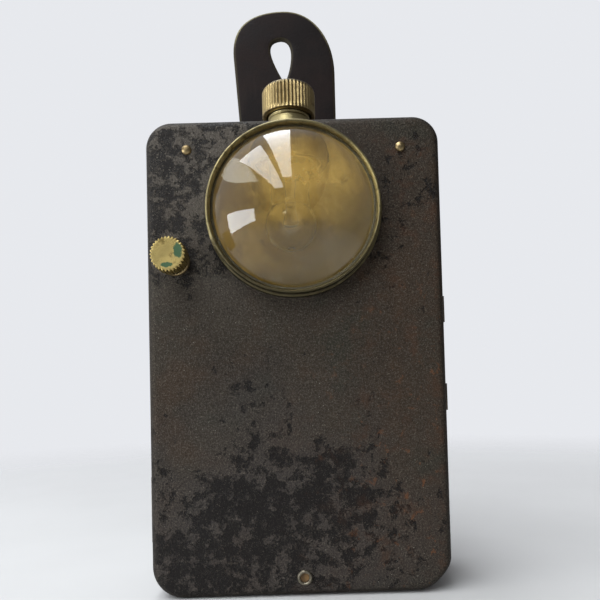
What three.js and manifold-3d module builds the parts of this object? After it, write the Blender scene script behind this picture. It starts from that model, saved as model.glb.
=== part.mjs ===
// Flat sheet-metal hand and cap lamp with a bull's-eye lens, a bulb loaded through a capped neck,
// a screw switch, a flat 4.5 V battery behind a hinged cover, and a leather button tab.
// Millimetres. +Z up, the lens faces -Y, +X is the viewer's right. The origin is the bottom's centre.
import * as THREE from 'three';
import { mergeVertices } from 'three/addons/utils/BufferGeometryUtils.js';
import Module from 'manifold-3d';

const wasm = await Module();
wasm.setup();

// ---------- driving dimensions ----------
const GAP = 0.3; // kept between pieces that touch
const SHEET = 0.6; // case sheet
const CASE = {
  w: 67.3, h: 108, front: -14, back: 14, split: 9.25, cornerTop: 6, cornerBottom: 7, edge: 2,
};
const LENS = {
  x: 0, z: 86.4, opening: 17.4, glass: 18.4, flange: 18.9, flangeThick: 2.3, dome: 9.6,
  hollow: 16.4, hollowDeep: 3.5,
};
const BEZEL = { foot: 19.9, collar: 19.45, high: 4.1, footHigh: 1.3 };
const NECK = { x: -0.8, y: -1, bore: 4.85, r: 5.15, top: 117.6, flange: 7.4 };
const CAP = { r: 6.6, bottom: 113.9, top: 121.2, teeth: 44, groove: 0.28 };
const KNOB = { x: -27, z: 75.5, r: 3.85, face: -21.5, under: -17.1, teeth: 30, groove: 0.28 };
const STEM = { r: 1.5, end: -6.6 }; // the switch screw, and where it ends inside
const CHASSIS = { y: -10.5, thick: 0.5, bottom: 8, top: 67.4 };
const SIDE_TABS = [ // the chassis tabs that come out through the side walls
  { side: 1, low: 60.6, high: 66.6 },
  { side: 1, low: 40.3, high: 46.4 },
  { side: -1, low: 12, high: 26.7 },
];
const RIVET = { head: 1.15, shank: 0.7, left: { x: -24, z: 101 }, right: { x: 24.6, z: 100.5 } };
const EYELET = { x: 0.4, z: 4.3, flange: 1.7, r: 1.3, bore: 1.0 };
const BULB = {
  tip: 110.3, baseTop: 108, baseBottom: 98.8, thread: 4.7, globe: 4.7, centre: 88.9, stem: 3.4,
};
const SOCKET = { low: 98.6, high: 106, shell: 5.2, sleeve: 6.1, flange: 7.4 };
const BRACKET = { low: 104.8, high: 105.3, x: 28, hole: 6.3, back: 6.4 };
const REFLECTOR = { rim: 17, lip: 19.4, y: -13.3, deep: 20, wall: 0.4, hole: 6.5, collarTop: 99.5 };
const BATTERY = { w: 61, front: -9.2, back: 12, bottom: 3.5, top: 66, seal: 2.4 };
const HINGE = {
  x: CASE.w / 2 + 1.4, y: 9.4, r: 1.3, bore: 0.65, pin: 0.55, leaf: 0.5,
  low: 34, high: 74, mid: [45.2, 62.8],
};
const LEATHER = { thick: 1.8, y: 14.1, low: 84, bend: 108.15 };
const TAB = { left: -14.0, right: 11.9, lean: -2.2, top: 152.2 };
const TAB_RIVET = { x: -0.8, apart: 8, z: 94 };
const LEATHER_BACK = LEATHER.y + LEATHER.thick;
const PLATE_BACK = LEATHER_BACK + 0.1 + 0.6; // a 0.6 plate under the rivets' heads
const LEAF = {
  x: KNOB.x, wide: 5, front: -4.3, thick: 0.3, low: 69, pivot: 87.85, top: 94, rivet: 91, hole: 0.85,
};
const SPRING = { z: 34, half: 21 }; // the bowed strip that presses on the battery
const RIM_Y = CASE.front + SHEET; // inner face of the front

const MATERIALS = {
  paint: [0x2b2521, 0.55, 0.3],
  steel: [0x8d8a84, 0.45, 0.9],
  brass: [0xa08a4c, 0.4, 0.9],
  glass: [0xdfe6e0, 0.05, 0.0],
  leather: [0x2a211d, 0.6, 0.0],
  fibre: [0x7a3b2a, 0.7, 0.0],
  rubber: [0x2c2a28, 0.8, 0.0],
  card: [0x4a5a6b, 0.8, 0.0],
  pitch: [0x1b1714, 0.5, 0.0],
  tungsten: [0x9a9a9a, 0.3, 0.9],
};

const part = new THREE.Group();

function material(name) {
  const [color, roughness, metalness] = MATERIALS[name];
  return new THREE.MeshStandardMaterial({ color, roughness, metalness });
}

function add(name, finish, geometry) {
  const mesh = new THREE.Mesh(geometry, material(finish));
  mesh.name = name;
  part.add(mesh);
}

// ---------- geometry helpers ----------

/** Merges shared corners, keeps positions only and turns the faces outwards. */
function closed(geometry) {
  const bare = geometry.clone();
  bare.deleteAttribute('normal');
  bare.deleteAttribute('uv');
  const merged = mergeVertices(bare, 1e-5);
  const p = merged.attributes.position;
  const kept = [];
  let volume = 0;
  const [a, b, c] = [new THREE.Vector3(), new THREE.Vector3(), new THREE.Vector3()];
  for (let i = 0; i < merged.index.count; i += 3) {
    const [ia, ib, ic] = [0, 1, 2].map((k) => merged.index.getX(i + k));
    if (ia === ib || ib === ic || ic === ia) continue;
    kept.push(ia, ib, ic);
    volume += a.fromBufferAttribute(p, ia).dot(
      b.fromBufferAttribute(p, ib).cross(c.fromBufferAttribute(p, ic)));
  }
  merged.setIndex(volume > 0 ? kept : kept.reverse());
  return merged;
}

function solid(geometry) {
  const g = closed(geometry);
  const vertProperties = new Float32Array(g.attributes.position.array);
  const triVerts = new Uint32Array(g.index.array);
  return new wasm.Manifold(new wasm.Mesh({ numProp: 3, vertProperties, triVerts }));
}

function geometryOf(manifold) {
  const mesh = manifold.getMesh();
  const points = new Float32Array((mesh.vertProperties.length / mesh.numProp) * 3);
  for (let i = 0; i < points.length / 3; i += 1) {
    for (let k = 0; k < 3; k += 1) points[3 * i + k] = mesh.vertProperties[mesh.numProp * i + k];
  }
  const g = new THREE.BufferGeometry();
  g.setAttribute('position', new THREE.BufferAttribute(points, 3));
  g.setIndex(new THREE.BufferAttribute(new Uint32Array(mesh.triVerts), 1));
  return closed(g);
}

const cut = (body, ...tools) => geometryOf(tools.reduce((s, t) => s.subtract(solid(t)), solid(body)));
const join = (first, ...others) => geometryOf(others.reduce((s, t) => s.add(solid(t)), solid(first)));

function box(x0, x1, y0, y1, z0, z1) {
  const g = new THREE.BoxGeometry(x1 - x0, y1 - y0, z1 - z0);
  return closed(g.translate((x0 + x1) / 2, (y0 + y1) / 2, (z0 + z1) / 2));
}

/** A turned body about an axis along Y through (x, z); points are [radius, y]. */
function turnedY(points, x, z, segments = 32) {
  const g = new THREE.LatheGeometry(points.map(([r, y]) => new THREE.Vector2(r, y)), segments);
  return closed(g.translate(x, 0, z));
}

/** A turned body about an axis along Z through (x, y); points are [radius, z]. */
function turnedZ(points, x, y, segments = 32) {
  const g = new THREE.LatheGeometry(points.map(([r, z]) => new THREE.Vector2(r, z)), segments);
  return closed(g.rotateX(Math.PI / 2).translate(x, y, 0));
}

const ring = (inner, outer, low, high) => [
  [inner, low], [outer, low], [outer, high], [inner, high], [inner, low],
];
const rod = (r, low, high) => [[0, low], [r, low], [r, high], [0, high]];

/** A flat outline in X and Z, given as a THREE.Shape, made into a plate from y0 to y1. */
function plate(shape, y0, y1) {
  const g = new THREE.ExtrudeGeometry(shape, { depth: y1 - y0, bevelEnabled: false, curveSegments: 8 });
  return closed(g.rotateX(Math.PI / 2).translate(0, y1, 0));
}

/** Corner centres and radii of the case outline, inset from its outside. */
function caseOutline(inset, steps = 5) {
  const [x, top] = [CASE.w / 2 - inset, CASE.h - inset];
  const rt = Math.max(CASE.cornerTop - inset, 0.5);
  const rb = Math.max(CASE.cornerBottom - inset, 0.5);
  const corners = [
    [x - rb, inset + rb, rb, -90], [x - rt, top - rt, rt, 0],
    [-x + rt, top - rt, rt, 90], [-x + rb, inset + rb, rb, 180],
  ];
  return corners.flatMap(([cx, cz, r, start]) => Array.from({ length: steps + 1 }, (_, i) => {
    const a = THREE.MathUtils.degToRad(start + (90 * i) / steps);
    return [cx + r * Math.cos(a), cz + r * Math.sin(a)];
  }));
}

/** A body through rings of equal point counts, each [outline in X and Z, y], with a fan at both ends. */
function loft(rings) {
  const count = rings[0][0].length;
  const points = rings.flatMap(([outline, y]) => outline.flatMap(([x, z]) => [x, y, z]));
  const index = [];
  for (let k = 0; k + 1 < rings.length; k += 1) {
    for (let i = 0; i < count; i += 1) {
      const [a, b] = [k * count + i, k * count + ((i + 1) % count)];
      index.push(a, b, b + count, a, b + count, a + count);
    }
  }
  const last = (rings.length - 1) * count;
  for (let i = 1; i + 1 < count; i += 1) {
    index.push(0, i + 1, i, last, last + i, last + i + 1);
  }
  const g = new THREE.BufferGeometry();
  g.setAttribute('position', new THREE.BufferAttribute(new Float32Array(points), 3));
  g.setIndex(index);
  return closed(g);
}

/** A tray pressed from sheet: a rounded edge round its flat face, open at the other side. */
function tray(face, open) {
  const inward = Math.sign(open - face);
  const body = (inset, end) => {
    const bend = [0, 30, 60, 90].map((degrees) => {
      const a = THREE.MathUtils.degToRad(degrees);
      const r = CASE.edge - inset;
      const depth = inset + r * (1 - Math.cos(a));
      return [caseOutline(inset + r * (1 - Math.sin(a))), face + inward * depth];
    });
    return loft([...bend, [caseOutline(inset), end]]);
  };
  return cut(body(0, open), body(SHEET, open + inward));
}

/** A closed outline with straight V-shaped knurls. */
function knurl(teeth, crest, groove) {
  const points = [];
  for (let i = 0; i < teeth; i += 1) {
    [[0.0, crest], [0.5, crest - groove]].forEach(([f, r]) => {
      const a = (2 * Math.PI * (i + f)) / teeth;
      points.push([r * Math.cos(a), r * Math.sin(a)]);
    });
  }
  return points;
}

const scaled = (outline, k) => outline.map(([a, b]) => [a * k, b * k]);

/** A strip of constant thickness that follows points in one plane, extruded across its width. */
function strip(points, thick) {
  const path = points.map(([a, b]) => new THREE.Vector2(a, b));
  const side = (k) => path.map((p, i) => {
    const before = path[Math.max(i - 1, 0)];
    const after = path[Math.min(i + 1, path.length - 1)];
    const into = p.clone().sub(before);
    const out = after.clone().sub(p);
    const u = (into.length() ? into : out).clone().normalize();
    const v = (out.length() ? out : into).clone().normalize();
    const bisector = new THREE.Vector2(-(u.y + v.y), u.x + v.x).normalize();
    const stretch = 1 / Math.max(bisector.dot(new THREE.Vector2(-u.y, u.x)), 0.3);
    return p.clone().add(bisector.multiplyScalar((k * thick * stretch) / 2));
  });
  return new THREE.Shape([...side(1), ...side(-1).reverse()]);
}

/** A strip bent in the Y-Z plane, from x0 to x1. Points are [y, z]. */
function stripAcrossX(points, thick, x0, x1) {
  const g = new THREE.ExtrudeGeometry(strip(points, thick), { depth: x1 - x0, bevelEnabled: false });
  // The outline's first axis becomes Y, its second Z and the depth X.
  g.applyMatrix4(new THREE.Matrix4().makeBasis(
    new THREE.Vector3(0, 1, 0), new THREE.Vector3(0, 0, 1), new THREE.Vector3(1, 0, 0)));
  return closed(g.translate(x0, 0, 0));
}

// ---------- case ----------

function frontShell() {
  const side = CASE.w / 2;
  const slots = SIDE_TABS.map(({ side: s, low, high }) => box(
    Math.min(s * (side - 2), s * (side + 1)), Math.max(s * (side - 2), s * (side + 1)),
    CHASSIS.y - 0.25, CHASSIS.y + CHASSIS.thick + 0.25, low - 0.25, high + 0.25));
  const hole = (x, z, r, segments = 20) => (
    turnedY(rod(r, CASE.front - 1, CASE.front + 2), x, z, segments));
  return cut(
    tray(CASE.front, CASE.split - GAP / 2),
    hole(LENS.x, LENS.z, LENS.opening, 32),
    hole(KNOB.x, KNOB.z, 2.6),
    hole(RIVET.left.x, RIVET.left.z, RIVET.shank + 0.1, 12),
    hole(RIVET.right.x, RIVET.right.z, RIVET.shank + 0.1, 12),
    hole(EYELET.x, EYELET.z, EYELET.r + 0.1, 16),
    turnedZ(rod(NECK.r + 0.15, CASE.h - 2, CASE.h + 1), NECK.x, NECK.y, 24),
    ...slots,
  );
}

function rearCover() {
  const drill = rod(RIVET.shank + 0.1, CASE.back - 2, CASE.back + 1);
  const rivetHole = (x) => turnedY(drill, x, TAB_RIVET.z, 12);
  return cut(
    tray(CASE.back, CASE.split + GAP / 2),
    ...[-1, 1].map((s) => rivetHole(TAB_RIVET.x + s * TAB_RIVET.apart)),
    turnedY(rod(RIVET.shank + 0.1, CASE.back - 2, CASE.back + 1), 0, SPRING.z, 12),
  );
}

/** The strip frame inside the cover, which slips into the case on three sides. */
function coverFrame() {
  const shape = new THREE.Shape(caseOutline(SHEET + GAP, 4).map(([x, z]) => new THREE.Vector2(x, z)));
  const inside = caseOutline(SHEET + GAP + 0.5, 4).map(([x, z]) => new THREE.Vector2(x, z));
  shape.holes.push(new THREE.Path(inside));
  const whole = plate(shape, 6.9, CASE.back - CASE.edge);
  return cut(whole, box(26, 40, 0, 20, -5, 115));
}

/** Plate behind the front with side tabs bent over outside, a foot for the eyelet and two upward arms. */
function chassisPlate() {
  const [front, back] = [CHASSIS.y, CHASSIS.y + CHASSIS.thick];
  const inside = CASE.w / 2 - SHEET - GAP;
  const tabs = SIDE_TABS.flatMap(({ side: s, low, high }) => {
    const [root, wall, out] = [inside - 1, CASE.w / 2 + 0.15, CASE.w / 2 + 0.55].map((v) => s * v);
    const across = (a, b, y1) => box(Math.min(a, b), Math.max(a, b), front, y1, low, high);
    return [across(root, out, back), across(wall, out, front + 4)];
  });
  const foot = stripAcrossX(
    [
      [front + 0.25, CHASSIS.bottom + 1], [front + 0.25, CHASSIS.bottom - 0.2],
      [RIM_Y + 0.4, 6.9], [RIM_Y + 0.4, 1.6],
    ],
    0.45, EYELET.x - 5.5, EYELET.x + 5.5);
  const whole = join(
    box(-inside, inside, front, back, CHASSIS.bottom, CHASSIS.top),
    box(-inside, -21.5, front, back, CHASSIS.top - 1, 95.5),
    box(21.5, inside, front, back, CHASSIS.top - 1, 82),
    foot,
    ...tabs,
  );
  return cut(
    whole,
    turnedY(rod(2.4, front - 1, back + 1), KNOB.x, KNOB.z, 16),
    turnedY(rod(EYELET.r + 0.15, RIM_Y - 1, RIM_Y + 2), EYELET.x, EYELET.z, 16),
    turnedY(rod(LEAF.hole, front - 1, back + 1), LEAF.x, LEAF.rivet, 12),
  );
}

/** Bracket riveted behind the front: two ears, and a shelf with the hole for the socket sleeve. */
function socketBracket() {
  const [face, faceBack] = [RIM_Y + 0.1, RIM_Y + 0.6];
  const earX = 20.5;
  const ears = [-1, 1].map((s) => box(
    Math.min(s * earX, s * BRACKET.x), Math.max(s * earX, s * BRACKET.x),
    face, faceBack, 97.5, BRACKET.high));
  const shelf = box(-BRACKET.x, BRACKET.x, face, BRACKET.back, BRACKET.low, BRACKET.high);
  const hole = ({ x, z }) => turnedY(rod(RIVET.shank + 0.1, RIM_Y - 1, RIM_Y + 2), x, z, 12);
  return cut(
    join(shelf, ...ears),
    box(-18.5, 18.5, face - 1, -11.4, BRACKET.low - 1, BRACKET.high + 1),
    turnedZ(rod(BRACKET.hole, BRACKET.low - 1, BRACKET.high + 1), NECK.x, NECK.y, 24),
    hole(RIVET.left),
    hole(RIVET.right),
  );
}

/** A dome-headed rivet along Y: the head outside at face, pointing in direction out, the tail inside. */
function rivet(x, z, face, inner, head, shank) {
  const out = Math.sign(face - inner);
  const dome = [0, 45].map((degrees) => {
    const a = THREE.MathUtils.degToRad(degrees);
    return [head * Math.cos(a), face + out * (0.05 + 0.7 * Math.sin(a))];
  });
  return turnedY([
    [0, inner - out * 0.5], [head, inner - out * 0.5],
    [head, inner - out * 0.05], [shank, inner - out * 0.05],
    [shank, face + out * 0.05], ...dome, [0, face + out * 0.75],
  ], x, z, 12);
}

function eyelet() {
  const [out, inn] = [CASE.front, RIM_Y + 0.62 + 0.1];
  return turnedY([
    [EYELET.bore, inn + 0.3], [EYELET.bore, out - 0.25], [EYELET.bore + 0.2, out - 0.45],
    [EYELET.flange - 0.2, out - 0.4], [EYELET.flange, out - 0.1], [EYELET.r, out - 0.1],
    [EYELET.r, inn], [EYELET.flange + 0.1, inn + 0.05],
    [EYELET.flange, inn + 0.35], [EYELET.bore, inn + 0.3],
  ], EYELET.x, EYELET.z, 16);
}

// ---------- lens and reflector ----------
const SEAT = CASE.front - 0.1; // where the bezel and gasket meet the front
const GASKET_TOP = SEAT - 0.4;
const FLANGE_TOP = GASKET_TOP - 0.1 - LENS.flangeThick;

/** A collar on a wider foot; its lip slopes in over the glass flange. */
function bezel() {
  const lip = CASE.front - BEZEL.high;
  const bore = LENS.flange + 0.2;
  const mouth = LENS.glass + 0.1;
  const step = CASE.front - BEZEL.footHigh;
  return turnedY([
    [BEZEL.foot, SEAT], [bore, SEAT], [bore, FLANGE_TOP - 0.1], [mouth, FLANGE_TOP - 0.1],
    [mouth, lip + 0.75], [BEZEL.collar - 0.5, lip],
    [BEZEL.collar - 0.25, lip], [BEZEL.collar, lip + 0.35],
    [BEZEL.collar, step - 0.3], [BEZEL.foot, step], [BEZEL.foot, SEAT],
  ], LENS.x, LENS.z, 32);
}

/** Profile points of a spherical cap in Y, from its rim to just before its apex. */
function cap(base, edge, rise, steps) {
  const radius = (base ** 2 + rise ** 2) / (2 * rise);
  const top = Math.asin(base / radius);
  return Array.from({ length: steps }, (_, i) => {
    const a = top * (1 - i / steps);
    return [radius * Math.sin(a), edge - rise + radius * (1 - Math.cos(a))];
  });
}

/** Thick domed glass with a shallow hollow at its back and a flange under the bezel's lip. */
function lensGlass() {
  const back = GASKET_TOP - 0.1;
  return turnedY([
    [0, back - LENS.hollowDeep], ...cap(LENS.hollow, back, LENS.hollowDeep, 4).reverse(),
    [LENS.flange, back], [LENS.flange, FLANGE_TOP],
    ...cap(LENS.glass, FLANGE_TOP, LENS.dome, 6), [0, FLANGE_TOP - LENS.dome],
  ], LENS.x, LENS.z, 32);
}

/** Half-ellipse bowl with a flat lip, and a collar round the hole for the bulb at its top. */
function reflector() {
  const steps = 6;
  const bowl = (grow) => Array.from({ length: steps + 1 }, (_, i) => {
    const a = (Math.PI / 2) * (i / steps);
    const r = i === steps ? 0 : (REFLECTOR.rim + grow) * Math.cos(a);
    return [r, REFLECTOR.y + (REFLECTOR.deep + grow) * Math.sin(a)];
  });
  const inner = bowl(0).reverse();
  const outer = bowl(REFLECTOR.wall).slice(1);
  const lipBack = REFLECTOR.y + 0.4;
  const body = turnedY([
    ...inner, [REFLECTOR.lip, REFLECTOR.y], [REFLECTOR.lip, lipBack],
    [REFLECTOR.rim + REFLECTOR.wall, lipBack], ...outer,
  ], LENS.x, LENS.z, 28);
  const upright = (r, top) => turnedZ(rod(r, LENS.z + 3, top), NECK.x, NECK.y, 24);
  const space = turnedY([...inner, [0, REFLECTOR.y]], LENS.x, LENS.z, 28);
  const collar = cut(upright(REFLECTOR.hole + REFLECTOR.wall, REFLECTOR.collarTop), space);
  return cut(join(body, collar), upright(REFLECTOR.hole, 110));
}

// ---------- neck, socket and bulb ----------

function neckTube() {
  return turnedZ([
    [NECK.bore, SOCKET.high + 0.25], [NECK.flange, SOCKET.high + 0.25],
    [NECK.flange, CASE.h - SHEET - 0.15], [NECK.r, CASE.h - SHEET - 0.15],
    [NECK.r, NECK.top], [NECK.bore, NECK.top], [NECK.bore, SOCKET.high + 0.25],
  ], NECK.x, NECK.y, 24);
}

function socketInsulator() {
  const inner = SOCKET.shell + 0.15;
  return turnedZ([
    [inner, SOCKET.low], [SOCKET.sleeve, SOCKET.low], [SOCKET.sleeve, BRACKET.high + 0.15],
    [SOCKET.flange, BRACKET.high + 0.15], [SOCKET.flange, SOCKET.high],
    [inner, SOCKET.high], [inner, SOCKET.low],
  ], NECK.x, NECK.y, 20);
}

/** A rolled round thread: crests and roots between two heights, drawn as rings. */
function threadWave(crest, root, low, high, turns) {
  return Array.from({ length: 2 * turns + 1 }, (_, i) => (
    [i % 2 ? crest : root, low + ((high - low) * i) / (2 * turns)]));
}

function bulbBase() {
  const { thread, baseBottom: low, baseTop: high } = BULB;
  return turnedZ([
    [thread - 0.65, low], [thread - 0.2, low],
    ...threadWave(thread, thread - 0.35, low + 0.5, high - 1.2, 4),
    [thread - 0.9, high - 0.3], [2.3, high], [2.3, high - 0.35], [thread - 1.1, high - 0.7],
    [thread - 0.65, high - 1.4], [thread - 0.65, low],
  ], NECK.x, NECK.y, 16);
}

/** Thin-walled flask, open where it is cemented into the base. */
function bulbGlass() {
  const { globe, centre, stem, baseBottom } = BULB;
  const wall = 0.35;
  const shoulder = Math.asin(stem / globe);
  const side = (r, s) => {
    const arc = Array.from({ length: 6 }, (_, i) => {
      const a = (Math.PI - shoulder) * (i / 5);
      return [r * Math.sin(a), centre - r * Math.cos(a)];
    });
    return [...arc, [s, baseBottom + 2]];
  };
  const profile = [...side(globe, stem), ...side(globe - wall, stem - wall).reverse()];
  return turnedZ(profile, NECK.x, NECK.y, 16);
}

/** One wire: up a lead, across the coiled filament and down the other lead. */
function filamentWire() {
  const { centre } = BULB;
  const [half, high] = [1.3, BULB.baseBottom + 1];
  const points = [new THREE.Vector3(-half, 0, high), new THREE.Vector3(-half, 0, centre + 1)];
  const coils = 3;
  for (let i = 0; i <= coils * 4; i += 1) {
    const a = (Math.PI / 2) * i;
    points.push(new THREE.Vector3(
      -half + (2 * half * i) / (coils * 4), 0.35 * Math.sin(a), centre - 0.35 * Math.cos(a)));
  }
  points.push(new THREE.Vector3(half, 0, centre + 1), new THREE.Vector3(half, 0, high));
  const section = new THREE.Shape();
  section.absarc(0, 0, 0.09, 0, 2 * Math.PI);
  const extrudePath = new THREE.CatmullRomCurve3(points, false, 'catmullrom', 0.5);
  const settings = { steps: 30, bevelEnabled: false, curveSegments: 2, extrudePath };
  const g = new THREE.ExtrudeGeometry(section, settings);
  return closed(g.translate(NECK.x, NECK.y, 0));
}

// ---------- cap ----------

/** Knurled cap with a rounded shoulder, screwed over the neck. */
function topCap() {
  const outline = knurl(CAP.teeth, CAP.r, CAP.groove);
  const smooth = knurl(CAP.teeth, CAP.r - CAP.groove, 0);
  const layers = [
    [smooth, CAP.bottom], [outline, CAP.bottom + 0.25], [outline, CAP.top - 1.5],
    [scaled(outline, 0.965), CAP.top - 0.7],
    [scaled(smooth, 0.88), CAP.top - 0.15],
    [scaled(smooth, 0.72), CAP.top],
  ];
  const upright = loft(layers).rotateX(Math.PI / 2); // loft runs along Y; this stands it up along Z
  return cut(upright.translate(NECK.x, NECK.y, 0),
    turnedZ(rod(NECK.r + 0.4, CAP.bottom - 1, CAP.top - 1.3), NECK.x, NECK.y, 24));
}

function capContact() {
  const low = BULB.tip + 0.3;
  return turnedZ([
    [0, low], [1.6, low], [3.2, low + 0.4], [3.2, low + 1], [1.1, low + 1.2],
    [1.1, CAP.top - 3], [0, CAP.top - 2.8],
  ], NECK.x, NECK.y, 20);
}

function coil(x, y, low, high, r, wire, turns) {
  const count = turns * 8;
  const points = Array.from({ length: count + 1 }, (_, i) => {
    const a = (2 * Math.PI * turns * i) / count;
    return new THREE.Vector3(x + r * Math.cos(a), y + r * Math.sin(a), low + ((high - low) * i) / count);
  });
  const section = new THREE.Shape();
  section.absarc(0, 0, wire, 0, 2 * Math.PI);
  const extrudePath = new THREE.CatmullRomCurve3(points);
  const options = { steps: count, bevelEnabled: false, curveSegments: 2, extrudePath };
  return closed(new THREE.ExtrudeGeometry(section, options));
}

// ---------- switch ----------

function switchKnob() {
  const outline = knurl(KNOB.teeth, KNOB.r, KNOB.groove);
  const smooth = knurl(KNOB.teeth, KNOB.r - KNOB.groove, 0);
  const head = loft([
    [scaled(smooth, 0.9), KNOB.face], [smooth, KNOB.face + 0.15], [outline, KNOB.face + 0.4],
    [outline, KNOB.under - 0.25], [smooth, KNOB.under],
  ]).translate(KNOB.x, 0, KNOB.z);
  return join(head, turnedY(rod(STEM.r, KNOB.under - 1, STEM.end), KNOB.x, KNOB.z, 16));
}

function switchBush() {
  return turnedY([
    [STEM.r + 0.1, -15.2], [3.1, -15.2], [3.4, -14.9], [3.4, -14.1], [2.45, -14.1], [2.45, -11.5],
    [STEM.r + 0.1, -11.5], [STEM.r + 0.1, -15.2],
  ], KNOB.x, KNOB.z, 24);
}

function switchTip() {
  return turnedY([
    [STEM.r + 0.15, STEM.end - 1.5], [2.2, STEM.end - 1.5], [2.2, STEM.end + 1], [1.2, STEM.end + 2],
    [0, STEM.end + 2], [0, STEM.end + 0.2],
    [STEM.r + 0.15, STEM.end + 0.2], [STEM.r + 0.15, STEM.end - 1.5],
  ], KNOB.x, KNOB.z, 16);
}

// ---------- inside contacts ----------

const leafBox = (low, high) => box(
  LEAF.x - LEAF.wide / 2, LEAF.x + LEAF.wide / 2, LEAF.front, LEAF.front + LEAF.thick, low, high);

function leafInsulator() {
  const hole = turnedY(rod(LEAF.hole, -12, 0), LEAF.x, LEAF.rivet, 12);
  return cut(box(-31, -22.4, CHASSIS.y + CHASSIS.thick + 0.1, LEAF.front - 0.1, 87.2, 94.5), hole);
}

/** Strip on edge, from the socket sleeve over the reflector and down beside the leaf's foot. */
function leadStrip() {
  const shape = strip([[-7.2, 102], [-24.5, 102], [-29.6, 97.5], [-29.6, 88.5]], 0.35);
  return plate(shape, -3.9, -0.9);
}

// ---------- battery ----------
const [BATTERY_X, SEAL_LOW] = [BATTERY.w / 2, BATTERY.top - BATTERY.seal];

function batteryJacket() {
  const r = 1.5;
  const shape = new THREE.Shape();
  const [x0, x1, y0, y1] = [-BATTERY_X, BATTERY_X, BATTERY.front, BATTERY.back];
  shape.absarc(x1 - r, y0 + r, r, -Math.PI / 2, 0);
  shape.absarc(x1 - r, y1 - r, r, 0, Math.PI / 2);
  shape.absarc(x0 + r, y1 - r, r, Math.PI / 2, Math.PI);
  shape.absarc(x0 + r, y0 + r, r, Math.PI, 1.5 * Math.PI);
  const options = { depth: SEAL_LOW - 0.15 - BATTERY.bottom, bevelEnabled: false, curveSegments: 4 };
  return closed(new THREE.ExtrudeGeometry(shape, options).translate(0, 0, BATTERY.bottom));
}

// ---------- leather tab ----------
/** Rounded tongue that leans a little to the left, with a buttonhole that narrows into a slit. */
function tabStrap() {
  const shape = new THREE.Shape();
  const low = LEATHER.bend + 0.15;
  shape.moveTo(TAB.left, low);
  shape.lineTo(TAB.right, low);
  shape.lineTo(TAB.right + 0.1, 134.5);
  shape.bezierCurveTo(TAB.right, 145, 6, TAB.top, -2, TAB.top);
  shape.bezierCurveTo(-11, TAB.top, TAB.left + TAB.lean - 0.9, 147, TAB.left + TAB.lean, 139.5);
  shape.lineTo(TAB.left, low);
  const hole = new THREE.Path();
  hole.moveTo(-2.1, 124);
  hole.lineTo(-1.4, 133);
  hole.bezierCurveTo(0.2, 137.2, 1, 143.8, -2.8, 143.9);
  hole.bezierCurveTo(-7.2, 143.7, -6.4, 139.8, -2.8, 133);
  hole.lineTo(-2.8, 124);
  shape.holes.push(hole);
  return plate(shape, LEATHER.y, LEATHER_BACK);
}

function tabRivetHole(side) {
  const drill = rod(RIVET.shank + 0.1, LEATHER.y - 1, PLATE_BACK + 1);
  return turnedY(drill, TAB_RIVET.x + side * TAB_RIVET.apart, TAB_RIVET.z, 12);
}

function tabBase() {
  const shape = new THREE.Shape();
  shape.moveTo(TAB.left, LEATHER.bend - 0.4);
  shape.lineTo(TAB.left + 0.3, LEATHER.low + 5);
  shape.quadraticCurveTo(TAB.left + 0.3, LEATHER.low, TAB.left + 5, LEATHER.low);
  shape.lineTo(TAB.right - 5, LEATHER.low);
  shape.quadraticCurveTo(TAB.right - 0.3, LEATHER.low, TAB.right - 0.3, LEATHER.low + 5);
  shape.lineTo(TAB.right, LEATHER.bend - 0.4);
  return cut(plate(shape, LEATHER.y, LEATHER_BACK), tabRivetHole(-1), tabRivetHole(1));
}


function tabPlate() {
  const body = box(TAB_RIVET.x - 12, TAB_RIVET.x + 12, LEATHER_BACK + 0.1, PLATE_BACK, 89.5, 98.5);
  return cut(body, tabRivetHole(-1), tabRivetHole(1));
}

// ---------- hinge ----------
function knuckle(low, high) {
  return turnedZ(rod(HINGE.r, low, high), HINGE.x, HINGE.y, 20);
}

function hingeLeaf(spans, y0, y1) {
  const wall = CASE.w / 2 + 0.1;
  const bodies = spans.flatMap(([low, high]) => [
    knuckle(low, high),
    box(wall, wall + HINGE.leaf, Math.min(y0, HINGE.y), Math.max(y1, HINGE.y), low, high),
  ]);
  const [low, high] = [spans[0][0], spans[spans.length - 1][1]];
  const leaf = box(wall, wall + HINGE.leaf, y0, y1, low, high);
  return cut(join(leaf, ...bodies), turnedZ(rod(HINGE.bore, low - 1, high + 1), HINGE.x, HINGE.y, 16));
}

// ---------- assembly ----------
add('front_shell', 'paint', frontShell());
add('chassis_plate', 'steel', chassisPlate());
add('fibre_liner', 'fibre', box(-30, 30, -9.85, -9.5, 9, 66));
add('socket_bracket', 'steel', socketBracket());
for (const side of ['left', 'right']) {
  const { x, z } = RIVET[side];
  add(`front_rivet_${side}`, 'brass', rivet(x, z, CASE.front, RIM_Y + 0.6, RIVET.head, RIVET.shank));
}
add('bottom_eyelet', 'brass', eyelet());

add('lens_bezel', 'brass', bezel());
add('lens_gasket', 'rubber', turnedY(ring(16.6, LENS.flange, GASKET_TOP, SEAT), LENS.x, LENS.z, 28));
add('bullseye_lens', 'glass', lensGlass());
add('reflector', 'brass', reflector());
add('reflector_retainer', 'steel', turnedY(
  ring(17.8, REFLECTOR.lip + 0.3, REFLECTOR.y + 0.5, REFLECTOR.y + 1), LENS.x, LENS.z, 28));

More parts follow.
